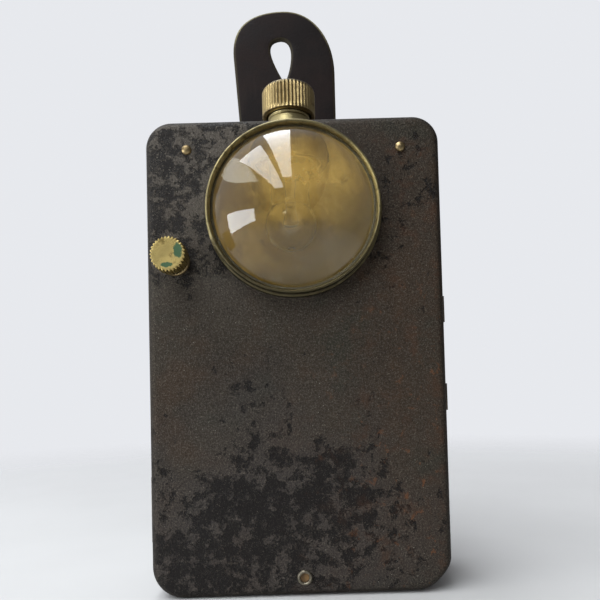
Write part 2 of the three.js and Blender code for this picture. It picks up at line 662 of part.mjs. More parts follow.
add('neck_tube', 'brass', neckTube());
add('socket_insulator', 'fibre', socketInsulator());
add('socket_shell', 'brass', turnedZ(
  ring(BULB.thread + 0.15, SOCKET.shell, SOCKET.low + 0.3, SOCKET.high - 0.2), NECK.x, NECK.y, 20));
add('bulb_base', 'brass', bulbBase());
add('bulb_insulator', 'pitch', turnedZ(
  [[0, BULB.baseTop + 0.15], [2.8, BULB.baseTop + 0.15], [2, BULB.tip - 0.9], [0, BULB.tip - 0.9]],
  NECK.x, NECK.y, 20));
add('bulb_tip', 'steel', turnedZ(
  [[0, BULB.tip - 0.8], [1.3, BULB.tip - 0.8], [1, BULB.tip - 0.2], [0, BULB.tip]], NECK.x, NECK.y, 16));
add('bulb_glass', 'glass', bulbGlass());
add('filament', 'tungsten', filamentWire());

add('top_cap', 'brass', topCap());
add('cap_contact', 'brass', capContact());
add('cap_spring', 'steel', coil(NECK.x, NECK.y, BULB.tip + 1.85, CAP.top - 1.8, 2.5, 0.3, 5));

add('switch_knob', 'brass', switchKnob());
add('switch_bush', 'brass', switchBush());
add('bush_nut', 'brass', cut(
  turnedY(rod(4.2, RIM_Y + 0.1, RIM_Y + 1.3), KNOB.x, KNOB.z, 6),
  turnedY(rod(2.6, RIM_Y - 1, RIM_Y + 3), KNOB.x, KNOB.z, 24)));
add('switch_tip', 'fibre', switchTip());

add('leaf_insulator', 'fibre', leafInsulator());
add('leaf_foot', 'brass', cut(leafBox(LEAF.pivot + 0.15, LEAF.top),
  turnedY(rod(LEAF.hole, -12, 0), LEAF.x, LEAF.rivet, 12)));
add('contact_leaf', 'brass', leafBox(LEAF.low, LEAF.pivot - 0.15));
add('leaf_rivet', 'brass', rivet(
  LEAF.x, LEAF.rivet, LEAF.front + LEAF.thick, CHASSIS.y, 1.4, RIVET.shank));
add('lead_strip', 'brass', leadStrip());

add('battery_jacket', 'card', batteryJacket());
add('battery_top_seal', 'pitch', box(
  -BATTERY_X + 0.8, BATTERY_X - 0.8, BATTERY.front + 0.8, BATTERY.back - 0.8, SEAL_LOW, BATTERY.top));
add('battery_strip_long', 'brass', stripAcrossX(
  [[-1.35, BATTERY.top + 0.1], [-1.35, 80]], 0.3, -29.5, -23.5));
add('battery_strip_short', 'brass', stripAcrossX(
  [[2, BATTERY.top + 0.1], [2, 69], [-8.5, 76], [-9.75, 80]], 0.3, 22.5, 28.5));

add('rear_cover', 'paint', rearCover());
add('cover_frame', 'steel', coverFrame());
add('catch_spring', 'steel', box(-31.9, -31.5, 7.4, 12.8, 46, 62));
add('battery_spring', 'steel', cut(
  stripAcrossX([
    [12.3, SPRING.z - SPRING.half], [13.05, SPRING.z], [12.3, SPRING.z + SPRING.half],
  ], 0.3, -4, 4),
  turnedY(rod(RIVET.shank + 0.1, 11, 15), 0, SPRING.z, 12)));
add('spring_rivet', 'steel', rivet(0, SPRING.z, CASE.back, 12.85, 1.2, RIVET.shank));
add('hinge_leaf_case', 'steel', hingeLeaf(
  [[HINGE.low, HINGE.mid[0] - 0.2], [HINGE.mid[1] + 0.2, HINGE.high]], 3.5, 7.9));
add('hinge_leaf_cover', 'steel', hingeLeaf([HINGE.mid], 10.9, 12.2));
add('hinge_pin', 'steel', turnedZ([
  [0, HINGE.low - 0.8], [1, HINGE.low - 0.8], [1, HINGE.low - 0.1], [HINGE.pin, HINGE.low - 0.1],
  [HINGE.pin, HINGE.high + 0.1], [1, HINGE.high + 0.1], [1, HINGE.high + 0.8], [0, HINGE.high + 0.8],
], HINGE.x, HINGE.y, 14));

add('tab_base', 'leather', tabBase());
add('tab_strap', 'leather', tabStrap());
add('tab_plate', 'brass', tabPlate());
for (const [name, s] of [['tab_rivet_left', -1], ['tab_rivet_right', 1]]) {
  const x = TAB_RIVET.x + s * TAB_RIVET.apart;
  add(name, 'brass', rivet(x, TAB_RIVET.z, PLATE_BACK, CASE.back - SHEET, 1.6, RIVET.shank));
}

export default part;
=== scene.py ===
"""A flat sheet-metal battery lamp with a bull's-eye lens, a capped bulb neck and a leather button tab.

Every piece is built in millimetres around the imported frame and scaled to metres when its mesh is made.
"""

from math import asin, cos, degrees, pi, radians, sin

import bmesh
import bpy
from mathutils import Matrix, Vector, noise


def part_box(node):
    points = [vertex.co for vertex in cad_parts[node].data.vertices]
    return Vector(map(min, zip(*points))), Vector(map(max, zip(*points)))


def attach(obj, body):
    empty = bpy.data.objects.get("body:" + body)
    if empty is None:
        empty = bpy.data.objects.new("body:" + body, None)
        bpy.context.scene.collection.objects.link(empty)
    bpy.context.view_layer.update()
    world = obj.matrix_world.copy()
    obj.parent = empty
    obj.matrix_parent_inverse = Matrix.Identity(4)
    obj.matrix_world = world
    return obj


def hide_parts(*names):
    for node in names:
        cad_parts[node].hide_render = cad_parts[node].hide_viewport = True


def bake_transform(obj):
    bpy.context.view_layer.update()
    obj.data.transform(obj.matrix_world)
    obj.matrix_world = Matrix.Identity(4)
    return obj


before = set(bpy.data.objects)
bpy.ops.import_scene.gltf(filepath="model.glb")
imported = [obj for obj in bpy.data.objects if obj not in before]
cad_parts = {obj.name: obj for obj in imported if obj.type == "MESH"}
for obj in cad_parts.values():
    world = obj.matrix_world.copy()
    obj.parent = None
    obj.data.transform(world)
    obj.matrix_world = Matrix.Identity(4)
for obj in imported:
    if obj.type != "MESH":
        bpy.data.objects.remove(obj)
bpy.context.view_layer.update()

MM = 0.001
SHEET = 0.6  # case sheet
EDGE = 2.0  # radius round the face of a pressed tray
CORNER_TOP, CORNER_BOTTOM = 6.0, 7.0
DENT_DEPTH, DENT_REACH = 1.7, 10.5
LENS_OPENING = 17.4
LENS_RIM = 18.4  # radius where the dome leaves its flange
HOLLOW_RIM = 16.4  # radius of the hollow in the lens's back
FLANGE_THICK, GLASS_WALL = 2.3, 8.4
TUBE_BORE = 4.85  # radius inside the neck and the socket
THREAD = 0.75  # pitch of the cap and the switch screw
BULB_THREAD = 1.6
LEATHER = 1.8
RIVET_HOLE, EYELET_HOLE, SWITCH_HOLE, NECK_HOLE = 0.8, 1.4, 2.6, 5.3
SIDE_TABS = ((1, 60.6, 66.6), (1, 40.3, 46.4), (-1, 12.0, 26.7))  # side, low and high of each chassis tab
SLOT_FRONT, SLOT_BACK, SLOT_PLAY = -10.75, -9.75, 0.25  # the case's slots for them


def box_mm(node):
    """A CAD node's lowest and highest corners, in millimetres."""
    low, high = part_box(node)
    return Vector(low) / MM, Vector(high) / MM


def centre_mm(node):
    low, high = box_mm(node)
    return (low + high) / 2


CASE_LOW, CASE_HIGH = box_mm("front_shell")
COVER_LOW, COVER_HIGH = box_mm("rear_cover")
LENS = centre_mm("lens_bezel")
NECK = centre_mm("neck_tube")
KNOB = centre_mm("switch_bush")
FRONT, BACK = CASE_LOW.y, COVER_HIGH.y
HALF_WIDTH, HEIGHT = CASE_HIGH.x, CASE_HIGH.z


# ---- materials


class Nodes:
    """A node tree whose nodes are made by short calls."""

    def __init__(self, tree):
        self.tree = tree

    def put(self, value, socket):
        """Links an output, or sets a plain value."""
        if hasattr(value, "node"):
            self.tree.links.new(value, socket)
        else:
            socket.default_value = value

    def node(self, kind, values={}, **settings):
        """A new node with its settings and the values of its inputs, by number or name."""
        node = self.tree.nodes.new("ShaderNode" + kind)
        for key, value in settings.items():
            setattr(node, key, value)
        for key, value in values.items():
            self.put(value, node.inputs[key])
        return node

    def math(self, operation, a, b=0.0, c=0.0):
        return self.node("Math", {0: a, 1: b, 2: c}, operation=operation).outputs[0]

    def times(self, a, b):
        return self.math("MULTIPLY", a, b)

    def sway(self, value, pattern, amount):
        """The value, moved up and down by a pattern that lies between 0 and 1."""
        return self.math("MULTIPLY_ADD", self.math("SUBTRACT", pattern, 0.5), amount, value)

    def vector(self, operation, a, b=(0, 0, 0)):
        node = self.node("VectorMath", {0: a, 1: b}, operation=operation)
        return node.outputs["Value" if operation in ("DISTANCE", "LENGTH", "DOT_PRODUCT") else "Vector"]

    def step(self, value, low, high, bottom=0.0, top=1.0):
        """Rises smoothly from bottom to top while the value goes from low to high."""
        values = dict(enumerate((value, low, high, bottom, top)))
        return self.node("MapRange", values, interpolation_type="SMOOTHSTEP").outputs[0]

    def mix(self, share, a, b):
        a, b = (c if hasattr(c, "node") else (*c, 1.0) for c in (a, b))
        return self.node("Mix", {0: share, 6: a, 7: b}, data_type="RGBA").outputs[2]

    def mix_shaders(self, share, a, b):
        return self.node("MixShader", {0: share, 1: a, 2: b}).outputs[0]


class Graph(Nodes):
    """A Principled material. Coordinates are in millimetres."""

    def __init__(self, name, **settings):
        self.material = bpy.data.materials.new(name)
        self.material.use_nodes = True
        super().__init__(self.material.node_tree)
        self.shader = self.tree.nodes["Principled BSDF"]
        self.output = self.tree.nodes["Material Output"]
        for key, value in settings.items():
            self.shader.inputs[key.replace("_", " ")].default_value = value
        coords = self.node("TexCoord").outputs
        scaled = self.node("VectorMath", {0: coords["Object"], "Scale": 1 / MM}, operation="SCALE")
        self.place = scaled.outputs[0]
        self.normal = coords["Normal"]
        self.color = None

    def coat(self, share, color):
        """Paints the colour so far over with a share of another."""
        self.color = self.mix(share, self.color, color)

    def axes(self, vector=None):
        return self.node("SeparateXYZ", {0: vector or self.place}).outputs

    def noise(self, scale, detail=4.0, roughness=0.55, distortion=0.0, stretch=(1, 1, 1), offset=(0, 0, 0)):
        values = {"Scale": scale, "Detail": detail, "Roughness": roughness, "Distortion": distortion}
        values["Vector"] = self.vector("ADD", self.vector("MULTIPLY", self.place, stretch), offset)
        return self.node("TexNoise", values).outputs["Fac"]

    def cells(self, scale, feature="F1", offset=(0, 0, 0)):
        values = {"Vector": self.vector("ADD", self.place, offset), "Scale": scale}
        return self.node("TexVoronoi", values, feature=feature).outputs["Distance"]

    def bump(self, height, distance, below=None):
        """Roughness of the surface; the distance is in millimetres for a height of 1."""
        values = {"Strength": 1.0, "Distance": distance * MM, "Height": height}
        if below is not None:
            values["Normal"] = below
        return self.node("Bump", values).outputs[0]

    def edge(self):
        """0 on the flat faces of a box and up to about 0.29 round its edges."""
        parts = [self.math("ABSOLUTE", n) for n in self.axes(self.normal)]
        largest = self.math("MAXIMUM", self.math("MAXIMUM", parts[0], parts[1]), parts[2])
        return self.math("SUBTRACT", 1.0, largest)

    def finish(self, rough=None, normal=None, metallic=None):
        sockets = {"Base Color": self.color, "Roughness": rough, "Normal": normal, "Metallic": metallic}
        for key, value in sockets.items():
            if value is not None:
                self.put(value, self.shader.inputs[key])
        return self.material


def worn_paint(name):
    """Stoving paint gone to a grained brown crust, with black paint left in soft patches and some rust."""
    g = Graph(name, Specular_IOR_Level=0.13)
    x, _, z = g.axes()
    broad = g.noise(0.05, 3, 0.5, offset=(11, 4, 7))
    islands = g.sway(g.noise(0.34, 8, 0.68, 0.12), g.noise(1.3, 6, 0.7, offset=(9, 9, 2)), 0.35)
    grain = g.noise(2.7, 3, 0.65, offset=(3, 8, 1))
    fine = g.noise(4.5, 3, 0.7, offset=(5, 5, 5))
    rightward = g.step(x, -8.0, 30.0)
    grey_and_sheen = g.times(g.step(z, 55.0, 104.0), g.step(x, 26.0, -24.0))
    shore = g.sway(z, broad, 60.0)
    shore = g.math("MULTIPLY_ADD", g.math("ABSOLUTE", g.math("ADD", x, 4.0)), 0.45, shore)
    below = g.times(g.step(shore, 62.0, 22.0), g.step(x, 40.0, 2.0, 0.35, 1.0))
    # the crust: brown on the right, lighter grey at the upper left, where part of the lightness is painted
    # sheen
    g.color = g.mix(g.step(broad, 0.38, 0.62), (0.025, 0.0192, 0.0132), (0.034, 0.0268, 0.0185))
    g.coat(g.times(rightward, 0.75), (0.036, 0.0245, 0.0160))
    warm = g.noise(0.055, 5, 0.6, 0.3, offset=(2, 14, 30))
    g.coat(g.step(warm, 0.50, 0.64, 0.0, 0.8), (0.041, 0.0255, 0.0150))
    g.coat(g.step(warm, 0.46, 0.34, 0.0, 0.6), (0.0225, 0.0235, 0.0165))
    # painted sheen: the upper left is lighter, partly grey crust and partly window light painted into the
    # colour
    g.coat(g.times(grey_and_sheen, 0.85), (0.098, 0.086, 0.072))
    g.coat(g.times(below, 0.7), (0.041, 0.035, 0.033))
    g.coat(g.step(grain, 0.50, 0.68, 0.0, 0.6), (0.098, 0.082, 0.064))
    g.coat(g.step(grain, 0.47, 0.33, 0.0, 0.7), (0.012, 0.0095, 0.0075))
    # black paint, kept towards the bottom and round the upper left
    above = g.times(g.step(z, 58.0, 80.0), g.step(x, 4.0, -20.0, 0.45, 1.0))
    kept = g.math("MAXIMUM", below, above)
    level = g.sway(islands, broad, 0.35)
    level = g.math("MULTIPLY_ADD", kept, -0.20, g.math("ADD", level, 0.19))
    level = g.sway(level, grain, 0.10)
    black = g.step(level, 0.535, 0.435)
    g.coat(g.times(black, 0.9), (0.0068, 0.0056, 0.0054))
    # rust bloom and orange spots towards the right edge
    bloom = g.times(g.step(g.noise(0.16, 6, 0.7, 0.3, offset=(40, 2, 9)), 0.5, 0.68), rightward)
    g.coat(g.times(bloom, 0.55), (0.060, 0.027, 0.0135))
    lower_right = g.times(g.step(z, 78.0, 50.0, 0.25, 1.0), rightward)
    spots = g.step(g.noise(0.42, 6, 0.7, 0.3, offset=(21, 30, 2)), 0.59, 0.68)
    g.coat(g.times(spots, lower_right), (0.105, 0.045, 0.020))
    # bright specks, partly grains of bare metal and partly painted glints, denser at the upper left where the
    # light falls; and a few crumbs of dust
    specks_and_glints = g.times(g.step(fine, 0.60, 0.70), g.math("MULTIPLY_ADD", grey_and_sheen, 0.6, 0.4))
    g.coat(specks_and_glints, (0.34, 0.30, 0.24))
    crumbs = g.times(g.step(g.cells(0.8, offset=(2, 9, 4)), 0.075, 0.03), g.step(broad, 0.5, 0.58))
    g.coat(crumbs, (0.38, 0.36, 0.31))
    # the pressed edges kept a darker, smoother coat that is worn through here and there
    rounding = g.step(g.edge(), 0.03, 0.2)
    g.coat(g.times(rounding, 0.65), (0.017, 0.0130, 0.0090))
    worn = g.times(rounding, g.step(g.noise(0.7, 6, 0.75, offset=(6, 6, 1)), 0.58, 0.68))
    g.coat(g.times(worn, 0.6), (0.11, 0.098, 0.080))
    rough = g.math("MULTIPLY_ADD", black, -0.12, g.step(grain, 0.3, 0.7, 0.58, 0.44))
    height = g.math("MULTIPLY_ADD", fine, 0.35, grain)
    height = g.times(height, g.math("MULTIPLY_ADD", black, -0.5, 1.0))
    pits = g.bump(height, 0.26)
    normal = g.bump(g.step(level, 0.42, 0.55), 0.05, pits)
    normal = g.bump(g.noise(0.05, 2, 0.4, offset=(1, 2, 3)), 0.8, normal)
    return g.finish(rough, normal)


def old_brass(name, bright, dark, wear=0.5, verdigris=(), darkening=()):
    """Handled brass: bright where it is rubbed, brown elsewhere.

    verdigris lists (centre, radii) of green patches. darkening lists (height, height, share): darker at the
    first height and beyond, plain at the second; on the cap this is dirt."""
    g = Graph(name, Metallic=1.0)
    cloud = g.noise(0.45, 6, 0.65, 0.5, offset=(7, 3, 5))
    fine = g.noise(5.0, 4, 0.7, offset=(1, 9, 2))
    tarnish = g.sway(cloud, fine, 0.35)
    g.color = g.mix(g.step(tarnish, 0.72 - 0.3 * wear, 0.28), bright, dark)
    g.coat(g.step(fine, 0.62, 0.75, 0.0, 0.5), tuple(min(1.0, c * 1.5) for c in bright))
    rough = g.step(tarnish, 0.3, 0.7, 0.52, 0.3)
    normal = g.bump(g.math("ADD", fine, g.times(cloud, 0.8)), 0.03)
    metal = None
    # darker by height: dirt on the cap's top, a plain darkening on the bezel's bottom and top
    for low, high, share in darkening:
        g.coat(g.step(g.axes()[2], low, high, share, 0.0), (0.040, 0.033, 0.021))
    for centre, radii in verdigris:
        away = g.vector("DIVIDE", g.vector("SUBTRACT", g.place, centre), radii)
        patch = g.step(g.sway(g.vector("LENGTH", away), g.noise(1.3, 5, 0.7), 1.3), 1.1, 0.8)
        g.coat(patch, (0.030, 0.082, 0.030))
        rough = g.math("MULTIPLY_ADD", patch, 0.25, rough)
        metal = g.times(1.0 if metal is None else metal, g.math("MULTIPLY_ADD", patch, -0.9, 1.0))
    return g.finish(rough, normal, metal)


def reflector_metal(name):
    """Brass bowl that has lost its plating: soft yellow clouds and brown stains, with painted shade over its
    lower part, reaching higher on the right.
    """
    g = Graph(name, Metallic=0.35)
    x, _, z = g.axes()
    cloud = g.noise(0.085, 4, 0.5, 0.9, offset=(5, 2, 8))
    stain = g.noise(0.22, 5, 0.62, 0.6, offset=(1, 7, 3))
    g.color = g.mix(g.step(cloud, 0.36, 0.62), (0.48, 0.33, 0.12), (0.88, 0.66, 0.25))
    # painted shade: the bowl is darkened below, and higher up towards the right
    low = g.step(g.math("MULTIPLY_ADD", x, -0.6, z), LENS.z + 9, LENS.z - 4)
    g.coat(g.times(low, 0.90), (0.120, 0.094, 0.045))
    g.coat(g.step(stain, 0.56, 0.72, 0.0, 0.75), (0.17, 0.12, 0.06))
    rough = g.step(stain, 0.35, 0.65, 0.34, 0.55)
    return g.finish(rough, g.bump(cloud, 0.12))


def tin(name, color=(0.36, 0.34, 0.30)):
    """Dull tinned or plain sheet steel with light rust."""
    g = Graph(name, Metallic=1.0)
    streak = g.noise(1.2, 5, 0.6, stretch=(1, 1, 0.25))
    rust = g.noise(0.4, 6, 0.7, 0.6, offset=(3, 3, 3))
    g.color = g.mix(g.step(streak, 0.35, 0.65), tuple(c * 0.6 for c in color), color)
    g.coat(g.step(rust, 0.56, 0.72, 0.0, 0.8), (0.12, 0.055, 0.028))
    return g.finish(g.step(rust, 0.3, 0.7, 0.32, 0.62), g.bump(streak, 0.03))


def leather(name):
    """Waxed strap leather: dark grain on its faces, lighter fibre on the cut edges, and a painted highlight
    where the edge faces up at the top.
    """
    g = Graph(name, Specular_IOR_Level=0.10)
    facing = g.axes(g.normal)
    pores = g.cells(1.5)
    creases = g.cells(0.75, "DISTANCE_TO_EDGE", offset=(4, 0, 9))
    cloud = g.noise(0.12, 5, 0.6, 0.4)
    fibre = g.noise(3.0, 4, 0.7, stretch=(1, 3, 1))
    g.color = g.mix(g.step(cloud, 0.35, 0.68), (0.0090, 0.0062, 0.0058), (0.0170, 0.0112, 0.0100))
    rub = g.times(g.step(g.noise(0.35, 4, 0.6, stretch=(1, 1, 0.12)), 0.56, 0.72), 0.5)
    g.coat(rub, (0.026, 0.018, 0.015))
    cut = g.step(g.math("ABSOLUTE", facing["Y"]), 0.997, 0.93)
    outer = g.mix(g.step(fibre, 0.3, 0.7), (0.10, 0.088, 0.045), (0.23, 0.20, 0.11))
    # painted highlight: the cut edge takes its full lighter fibre colour only where it faces up at the
    # strap's top, lit from above; elsewhere a small share is its own colour
    lit_top_edge = g.times(g.step(g.axes()["Z"], 140.0, 147.0), g.step(facing["Z"], 0.03, 0.14))
    g.coat(g.times(cut, g.math("MULTIPLY_ADD", lit_top_edge, 0.85, 0.15)), outer)
    height = g.math("MULTIPLY_ADD", g.step(creases, 0.0, 0.2), 0.3, g.times(pores, 0.4))
    normal = g.bump(g.math("MULTIPLY_ADD", fibre, 0.3, height), 0.035)
    return g.finish(g.step(cloud, 0.3, 0.7, 0.5, 0.7), normal)


def glass(name, tint):
    return Graph(name, Roughness=0.015, IOR=1.52, Transmission_Weight=1.0, Base_Color=(*tint, 1))


def open_to_lamps(g, surface, tint):
    """Ends a glass: shadow rays pass straight through to what is behind it."""
    clear = g.node("BsdfTransparent", {0: (*[0.9 * c for c in tint], 1)}).outputs[0]
    shadow = g.node("LightPath").outputs["Is Shadow Ray"]
    g.put(g.mix_shaders(shadow, surface, clear), g.output.inputs[0])
    return g.material


def clear_glass(name, tint):
    g = glass(name, tint)
    return open_to_lamps(g, g.shader.outputs[0], tint)


def veiled(g, surface, share, color):
    """Covers part of a surface with a dull diffuse veil, used for dust and for a painted glow."""
    diffuse_veil = g.node("BsdfDiffuse", {"Color": (*color, 1)}).outputs[0]
    return g.mix_shaders(share, surface, diffuse_veil)


def old_lens(name, tint):
    """Thick old glass: clean outside but for dust at its rim, with a golden painted glow on its hollow back.
    """
    g = glass(name, tint)
    flat = g.vector("MULTIPLY", g.place, (1, 0, 1))
    off = g.vector("DISTANCE", flat, (LENS.x, 0, LENS.z))
    smear = g.step(g.noise(0.5, 6, 0.7, 0.5), 0.45, 0.75)
    dust = g.times(g.step(off, 13.0, 17.6, 0.02, 0.11), smear)
    hollow = box_mm("bullseye_lens")[0].y + GLASS_WALL
    behind = g.step(g.axes()["Y"], hollow - 0.6, hollow - 0.2)
    inside = g.times(behind, g.step(off, HOLLOW_RIM + 0.3, HOLLOW_RIM - 0.1))
    cloud = g.noise(0.13, 6, 0.6, 0.5, offset=(8, 2, 3))
    heart = g.vector("DISTANCE", flat, (LENS.x + 1.0, 0, LENS.z + 6.5))
    mottle = g.noise(0.9, 5, 0.65, offset=(3, 0, 6))
    # painted light: a golden diffuse patch on the hollow back, brightest a little above the middle, makes the
    # inside of the lens glow
    diffuse_veil = g.step(g.sway(g.sway(heart, cloud, -24.0), mottle, -9.0), 13.5, 1.0, 0.06, 0.45)
    surface = veiled(g, g.shader.outputs[0], dust, (0.42, 0.39, 0.30))
    surface = veiled(g, surface, g.times(diffuse_veil, inside), (0.64, 0.425, 0.125))
    return open_to_lamps(g, surface, tint)


def fibre_board(name, color=(0.22, 0.065, 0.03)):
    g = Graph(name)
    cloud = g.noise(0.8, 5, 0.6)
    g.color = g.mix(g.step(cloud, 0.3, 0.7), tuple(c * 0.6 for c in color), color)
    return g.finish(g.step(cloud, 0.3, 0.7, 0.5, 0.75), g.bump(g.noise(3, 4), 0.04))


def wrapper(name):
    """Blue-grey battery paper with two plain printed bands and scuffed edges."""
    g = Graph(name)
    z = g.axes()["Z"]
    low, high = box_mm("battery_jacket")
    fibres = g.noise(2.0, 5, 0.7)
    scuff = g.noise(0.3, 6, 0.7, 0.5, offset=(9, 1, 1))
    g.color = g.mix(g.step(fibres, 0.3, 0.7), (0.075, 0.105, 0.14), (0.115, 0.15, 0.19))
    for middle in (low.z + 9, high.z - 9):
        band = g.step(g.math("ABSOLUTE", g.math("SUBTRACT", z, middle)), 2.6, 2.4)
        g.coat(g.times(band, g.step(fibres, 0.2, 0.5, 0.75, 1.0)), (0.45, 0.36, 0.17))
    g.coat(g.step(scuff, 0.6, 0.75, 0.0, 0.7), (0.33, 0.29, 0.23))
    g.coat(g.step(g.edge(), 0.05, 0.25, 0.0, 0.7), (0.38, 0.33, 0.26))
    return g.finish(0.75, g.bump(fibres, 0.05))


def dark_mass(name, color, rough, lump):
    g = Graph(name)
    cloud = g.noise(0.5, 5, 0.6, 0.4)
    g.color = g.mix(g.step(cloud, 0.35, 0.65), color, tuple(c * 1.8 for c in color))
    return g.finish(g.step(cloud, 0.3, 0.7, rough - 0.12, rough + 0.12), g.bump(cloud, lump))


cap_top = box_mm("top_cap")[1].z
knob_face = box_mm("switch_knob")[0].y
# the bezel is darker towards its bottom and its top
bezel_darkening = ((LENS.z - 16, LENS.z + 4, 0.85), (LENS.z + 18, LENS.z + 9, 0.55))
knob_green = (
    ((KNOB.x + 2.2, knob_face, KNOB.z + 0.6), (1.0, 4.0, 1.7)),
    ((KNOB.x - 0.2, knob_face, KNOB.z - 2.4), (1.3, 4.0, 0.6)))

PAINT = worn_paint("case_paint")
BRASS = old_brass("brass", (0.34, 0.255, 0.13), (0.115, 0.08, 0.04))
NECK_BRASS = old_brass("neck_brass", (0.50, 0.42, 0.21), (0.19, 0.15, 0.07), 0.8)
EYELET_BRASS = old_brass("eyelet_brass", (0.24, 0.215, 0.165), (0.09, 0.075, 0.05), 0.6)
BEZEL_BRASS = old_brass("bezel_brass", (0.34, 0.285, 0.14), (0.12, 0.095, 0.045), 0.6, darkening=bezel_darkening)
CAP_BRASS = old_brass(
    "cap_brass", (0.37, 0.28, 0.13), (0.17, 0.12, 0.055), 0.7, darkening=((cap_top - 0.25, cap_top - 1.7, 0.85),))
KNOB_BRASS = old_brass("knob_brass", (0.47, 0.36, 0.135), (0.20, 0.145, 0.05), 0.8, verdigris=knob_green)
CONTACT = old_brass("contact_brass", (0.55, 0.41, 0.19), (0.22, 0.14, 0.06), 0.7)
BOWL = reflector_metal("reflector_brass")
TIN = tin("tinplate")
STEEL = tin("dark_steel", (0.13, 0.105, 0.075))
SOLDER = tin("solder", (0.5, 0.5, 0.48))
TUNGSTEN = tin("tungsten", (0.3, 0.3, 0.3))
GLASS = old_lens("lens_glass", (0.97, 0.935, 0.80))
BULB_GLASS = clear_glass("bulb_glass", (0.985, 0.99, 0.98))
LEATHER_SKIN = leather("leather")
FIBRE = fibre_board("fibre")
SLEEVE = fibre_board("fibre_sleeve", (0.27, 0.19, 0.085))
PAPER = wrapper("battery_paper")
RUST = dark_mass("rust", (0.10, 0.055, 0.018), 0.7, 0.1)
PITCH = dark_mass("pitch", (0.010, 0.009, 0.008), 0.4, 0.25)
RUBBER = dark_mass("gasket_rubber", (0.02, 0.018, 0.016), 0.75, 0.05)


# ---- meshes


def outward(mesh):
    """Turns a mesh's faces outwards."""
    bm = bmesh.new()
    bm.from_mesh(mesh)
    bmesh.ops.recalc_face_normals(bm, faces=bm.faces)
    bm.to_mesh(mesh)
    bm.free()


def solid_mesh(name, shape):
    """A mesh in metres of vertices and faces in millimetres."""
    verts, faces = shape
    mesh = bpy.data.meshes.new(name)
    mesh.from_pydata([tuple(c * MM for c in v) for v in verts], [], faces)
    outward(mesh)
    return mesh


def placed(name, data):
    """A new object in the scene."""
    obj = bpy.data.objects.new(name, data)
    bpy.context.scene.collection.objects.link(obj)
    return obj


def evaluated(obj):
    """The mesh of an object as its modifiers or its curve make it."""
    bpy.context.view_layer.update()
    depsgraph = bpy.context.evaluated_depsgraph_get()
    return bpy.data.meshes.new_from_object(obj.evaluated_get(depsgraph), depsgraph=depsgraph)


def wrap(name, mesh, material, body, nodes, angle=35):
    """Makes an object of a mesh in metres, shades it, hangs it on its body and hides the CAD nodes it stands
    for.
    """
    outward(mesh)
    mesh.materials.clear()
    mesh.materials.append(material)
    mesh.shade_smooth()
    mesh.set_sharp_from_angle(angle=radians(angle))
    obj = placed(name, mesh)
    if body:
        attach(obj, body)
    if nodes:
        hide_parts(*nodes)
    return obj


def piece(name, shape, material, body, nodes, angle=35):
    """An object of vertices and faces in millimetres, that rides on a body and stands for the CAD nodes."""
    return wrap(name, solid_mesh(name, shape), material, body, nodes, angle)


def unit(value):
    """The value, kept between 0 and 1."""
    return min(1.0, max(0.0, value))


def lathe(profile, centre, axis="Z", segments=96, shape=None):
    """Vertices and faces of a body turned round an upright axis, or round one along Y.

    profile is [(radius, height)], closed if its ends are equal or on the axis. shape(angle, radius, height)
    may change a radius, as for knurls."""
    closed = profile[0] == profile[-1]
    verts, rings = [], []
    for radius, height in profile[:-1] if closed else profile:
        count = 1 if radius < 1e-6 else segments
        rings.append(range(len(verts), len(verts) + count))
        for i in range(count):
            a = 2 * pi * i / segments
            r = shape(a, radius, height) if shape and count > 1 else radius
            x, side = centre.x + r * cos(a), r * sin(a)
            verts.append((x, centre.y + side, height) if axis == "Z" else (x, height, centre.z + side))
    faces = []
    for a, b in zip(rings, [*rings[1:], rings[0]] if closed else rings[1:]):
        for i in range(segments if len(a) + len(b) > 2 else 0):
            j = (i + 1) % segments
            if len(a) == 1:
                faces.append((a[0], b[j], b[i]))
            elif len(b) == 1:
                faces.append((a[i], a[j], b[0]))
            else:
                faces.append((a[i], a[j], b[j], b[i]))
    return verts, faces


def ellipse(centre, wide, high, start, end, steps):
    """Points of a profile's round corner or dome, from start to end in degrees."""
    angles = [radians(start + (end - start) * i / steps) for i in range(steps + 1)]
    return [(centre[0] + wide * cos(a), centre[1] + high * sin(a)) for a in angles]


def arc(centre, radius, start, end, steps):
    return ellipse(centre, radius, radius, start, end, steps)


def rounded(profile, radius, steps=2):
    """Rounds the corners of a profile that are off the axis."""
    closed = profile[0] == profile[-1]
    points = [Vector(p) for p in (profile[:-1] if closed else profile)]
    out = []
    count = len(points)
    for i, p in enumerate(points):
        before, after = points[i - 1] - p, points[(i + 1) % count] - p
        at_end = not closed and i in (0, count - 1)
        if at_end or p.x < 1e-6 or before.length < 1e-6 or after.length < 1e-6:
            out.append(tuple(p))
            continue
        r = min(radius, before.length * 0.45, after.length * 0.45)
        a, b = p + before.normalized() * r, p + after.normalized() * r
        for k in range(steps + 1):
            t = k / steps
            out.append(tuple(a.lerp(p, t).lerp(p.lerp(b, t), t)))
    return out + ([out[0]] if closed else [])


def turned(
        name, profile, centre, material, body, nodes, axis="Z", segments=96, soft=0.12, shape=None, angle=35):
    """A turned piece, its corners rounded by the soft radius."""
    skin = lathe(rounded(profile, soft) if soft else profile, centre, axis, segments, shape)
    return piece(name, skin, material, body, nodes, angle)


def tube(rings):
    """Vertices and faces of a closed body whose skin runs over rings of equally many points."""
    count = len(rings[0])
    verts = [p for ring in rings for p in ring]
    last = len(verts) - count
    faces = []
    for start in range(0, last, count):
        for i in range(start, start + count):
            j = start + (i + 1 - start) % count
            faces.append((i, j, j + count, i + count))
    faces += [tuple(range(count))[::-1], tuple(range(last, last + count))]
    return verts, faces


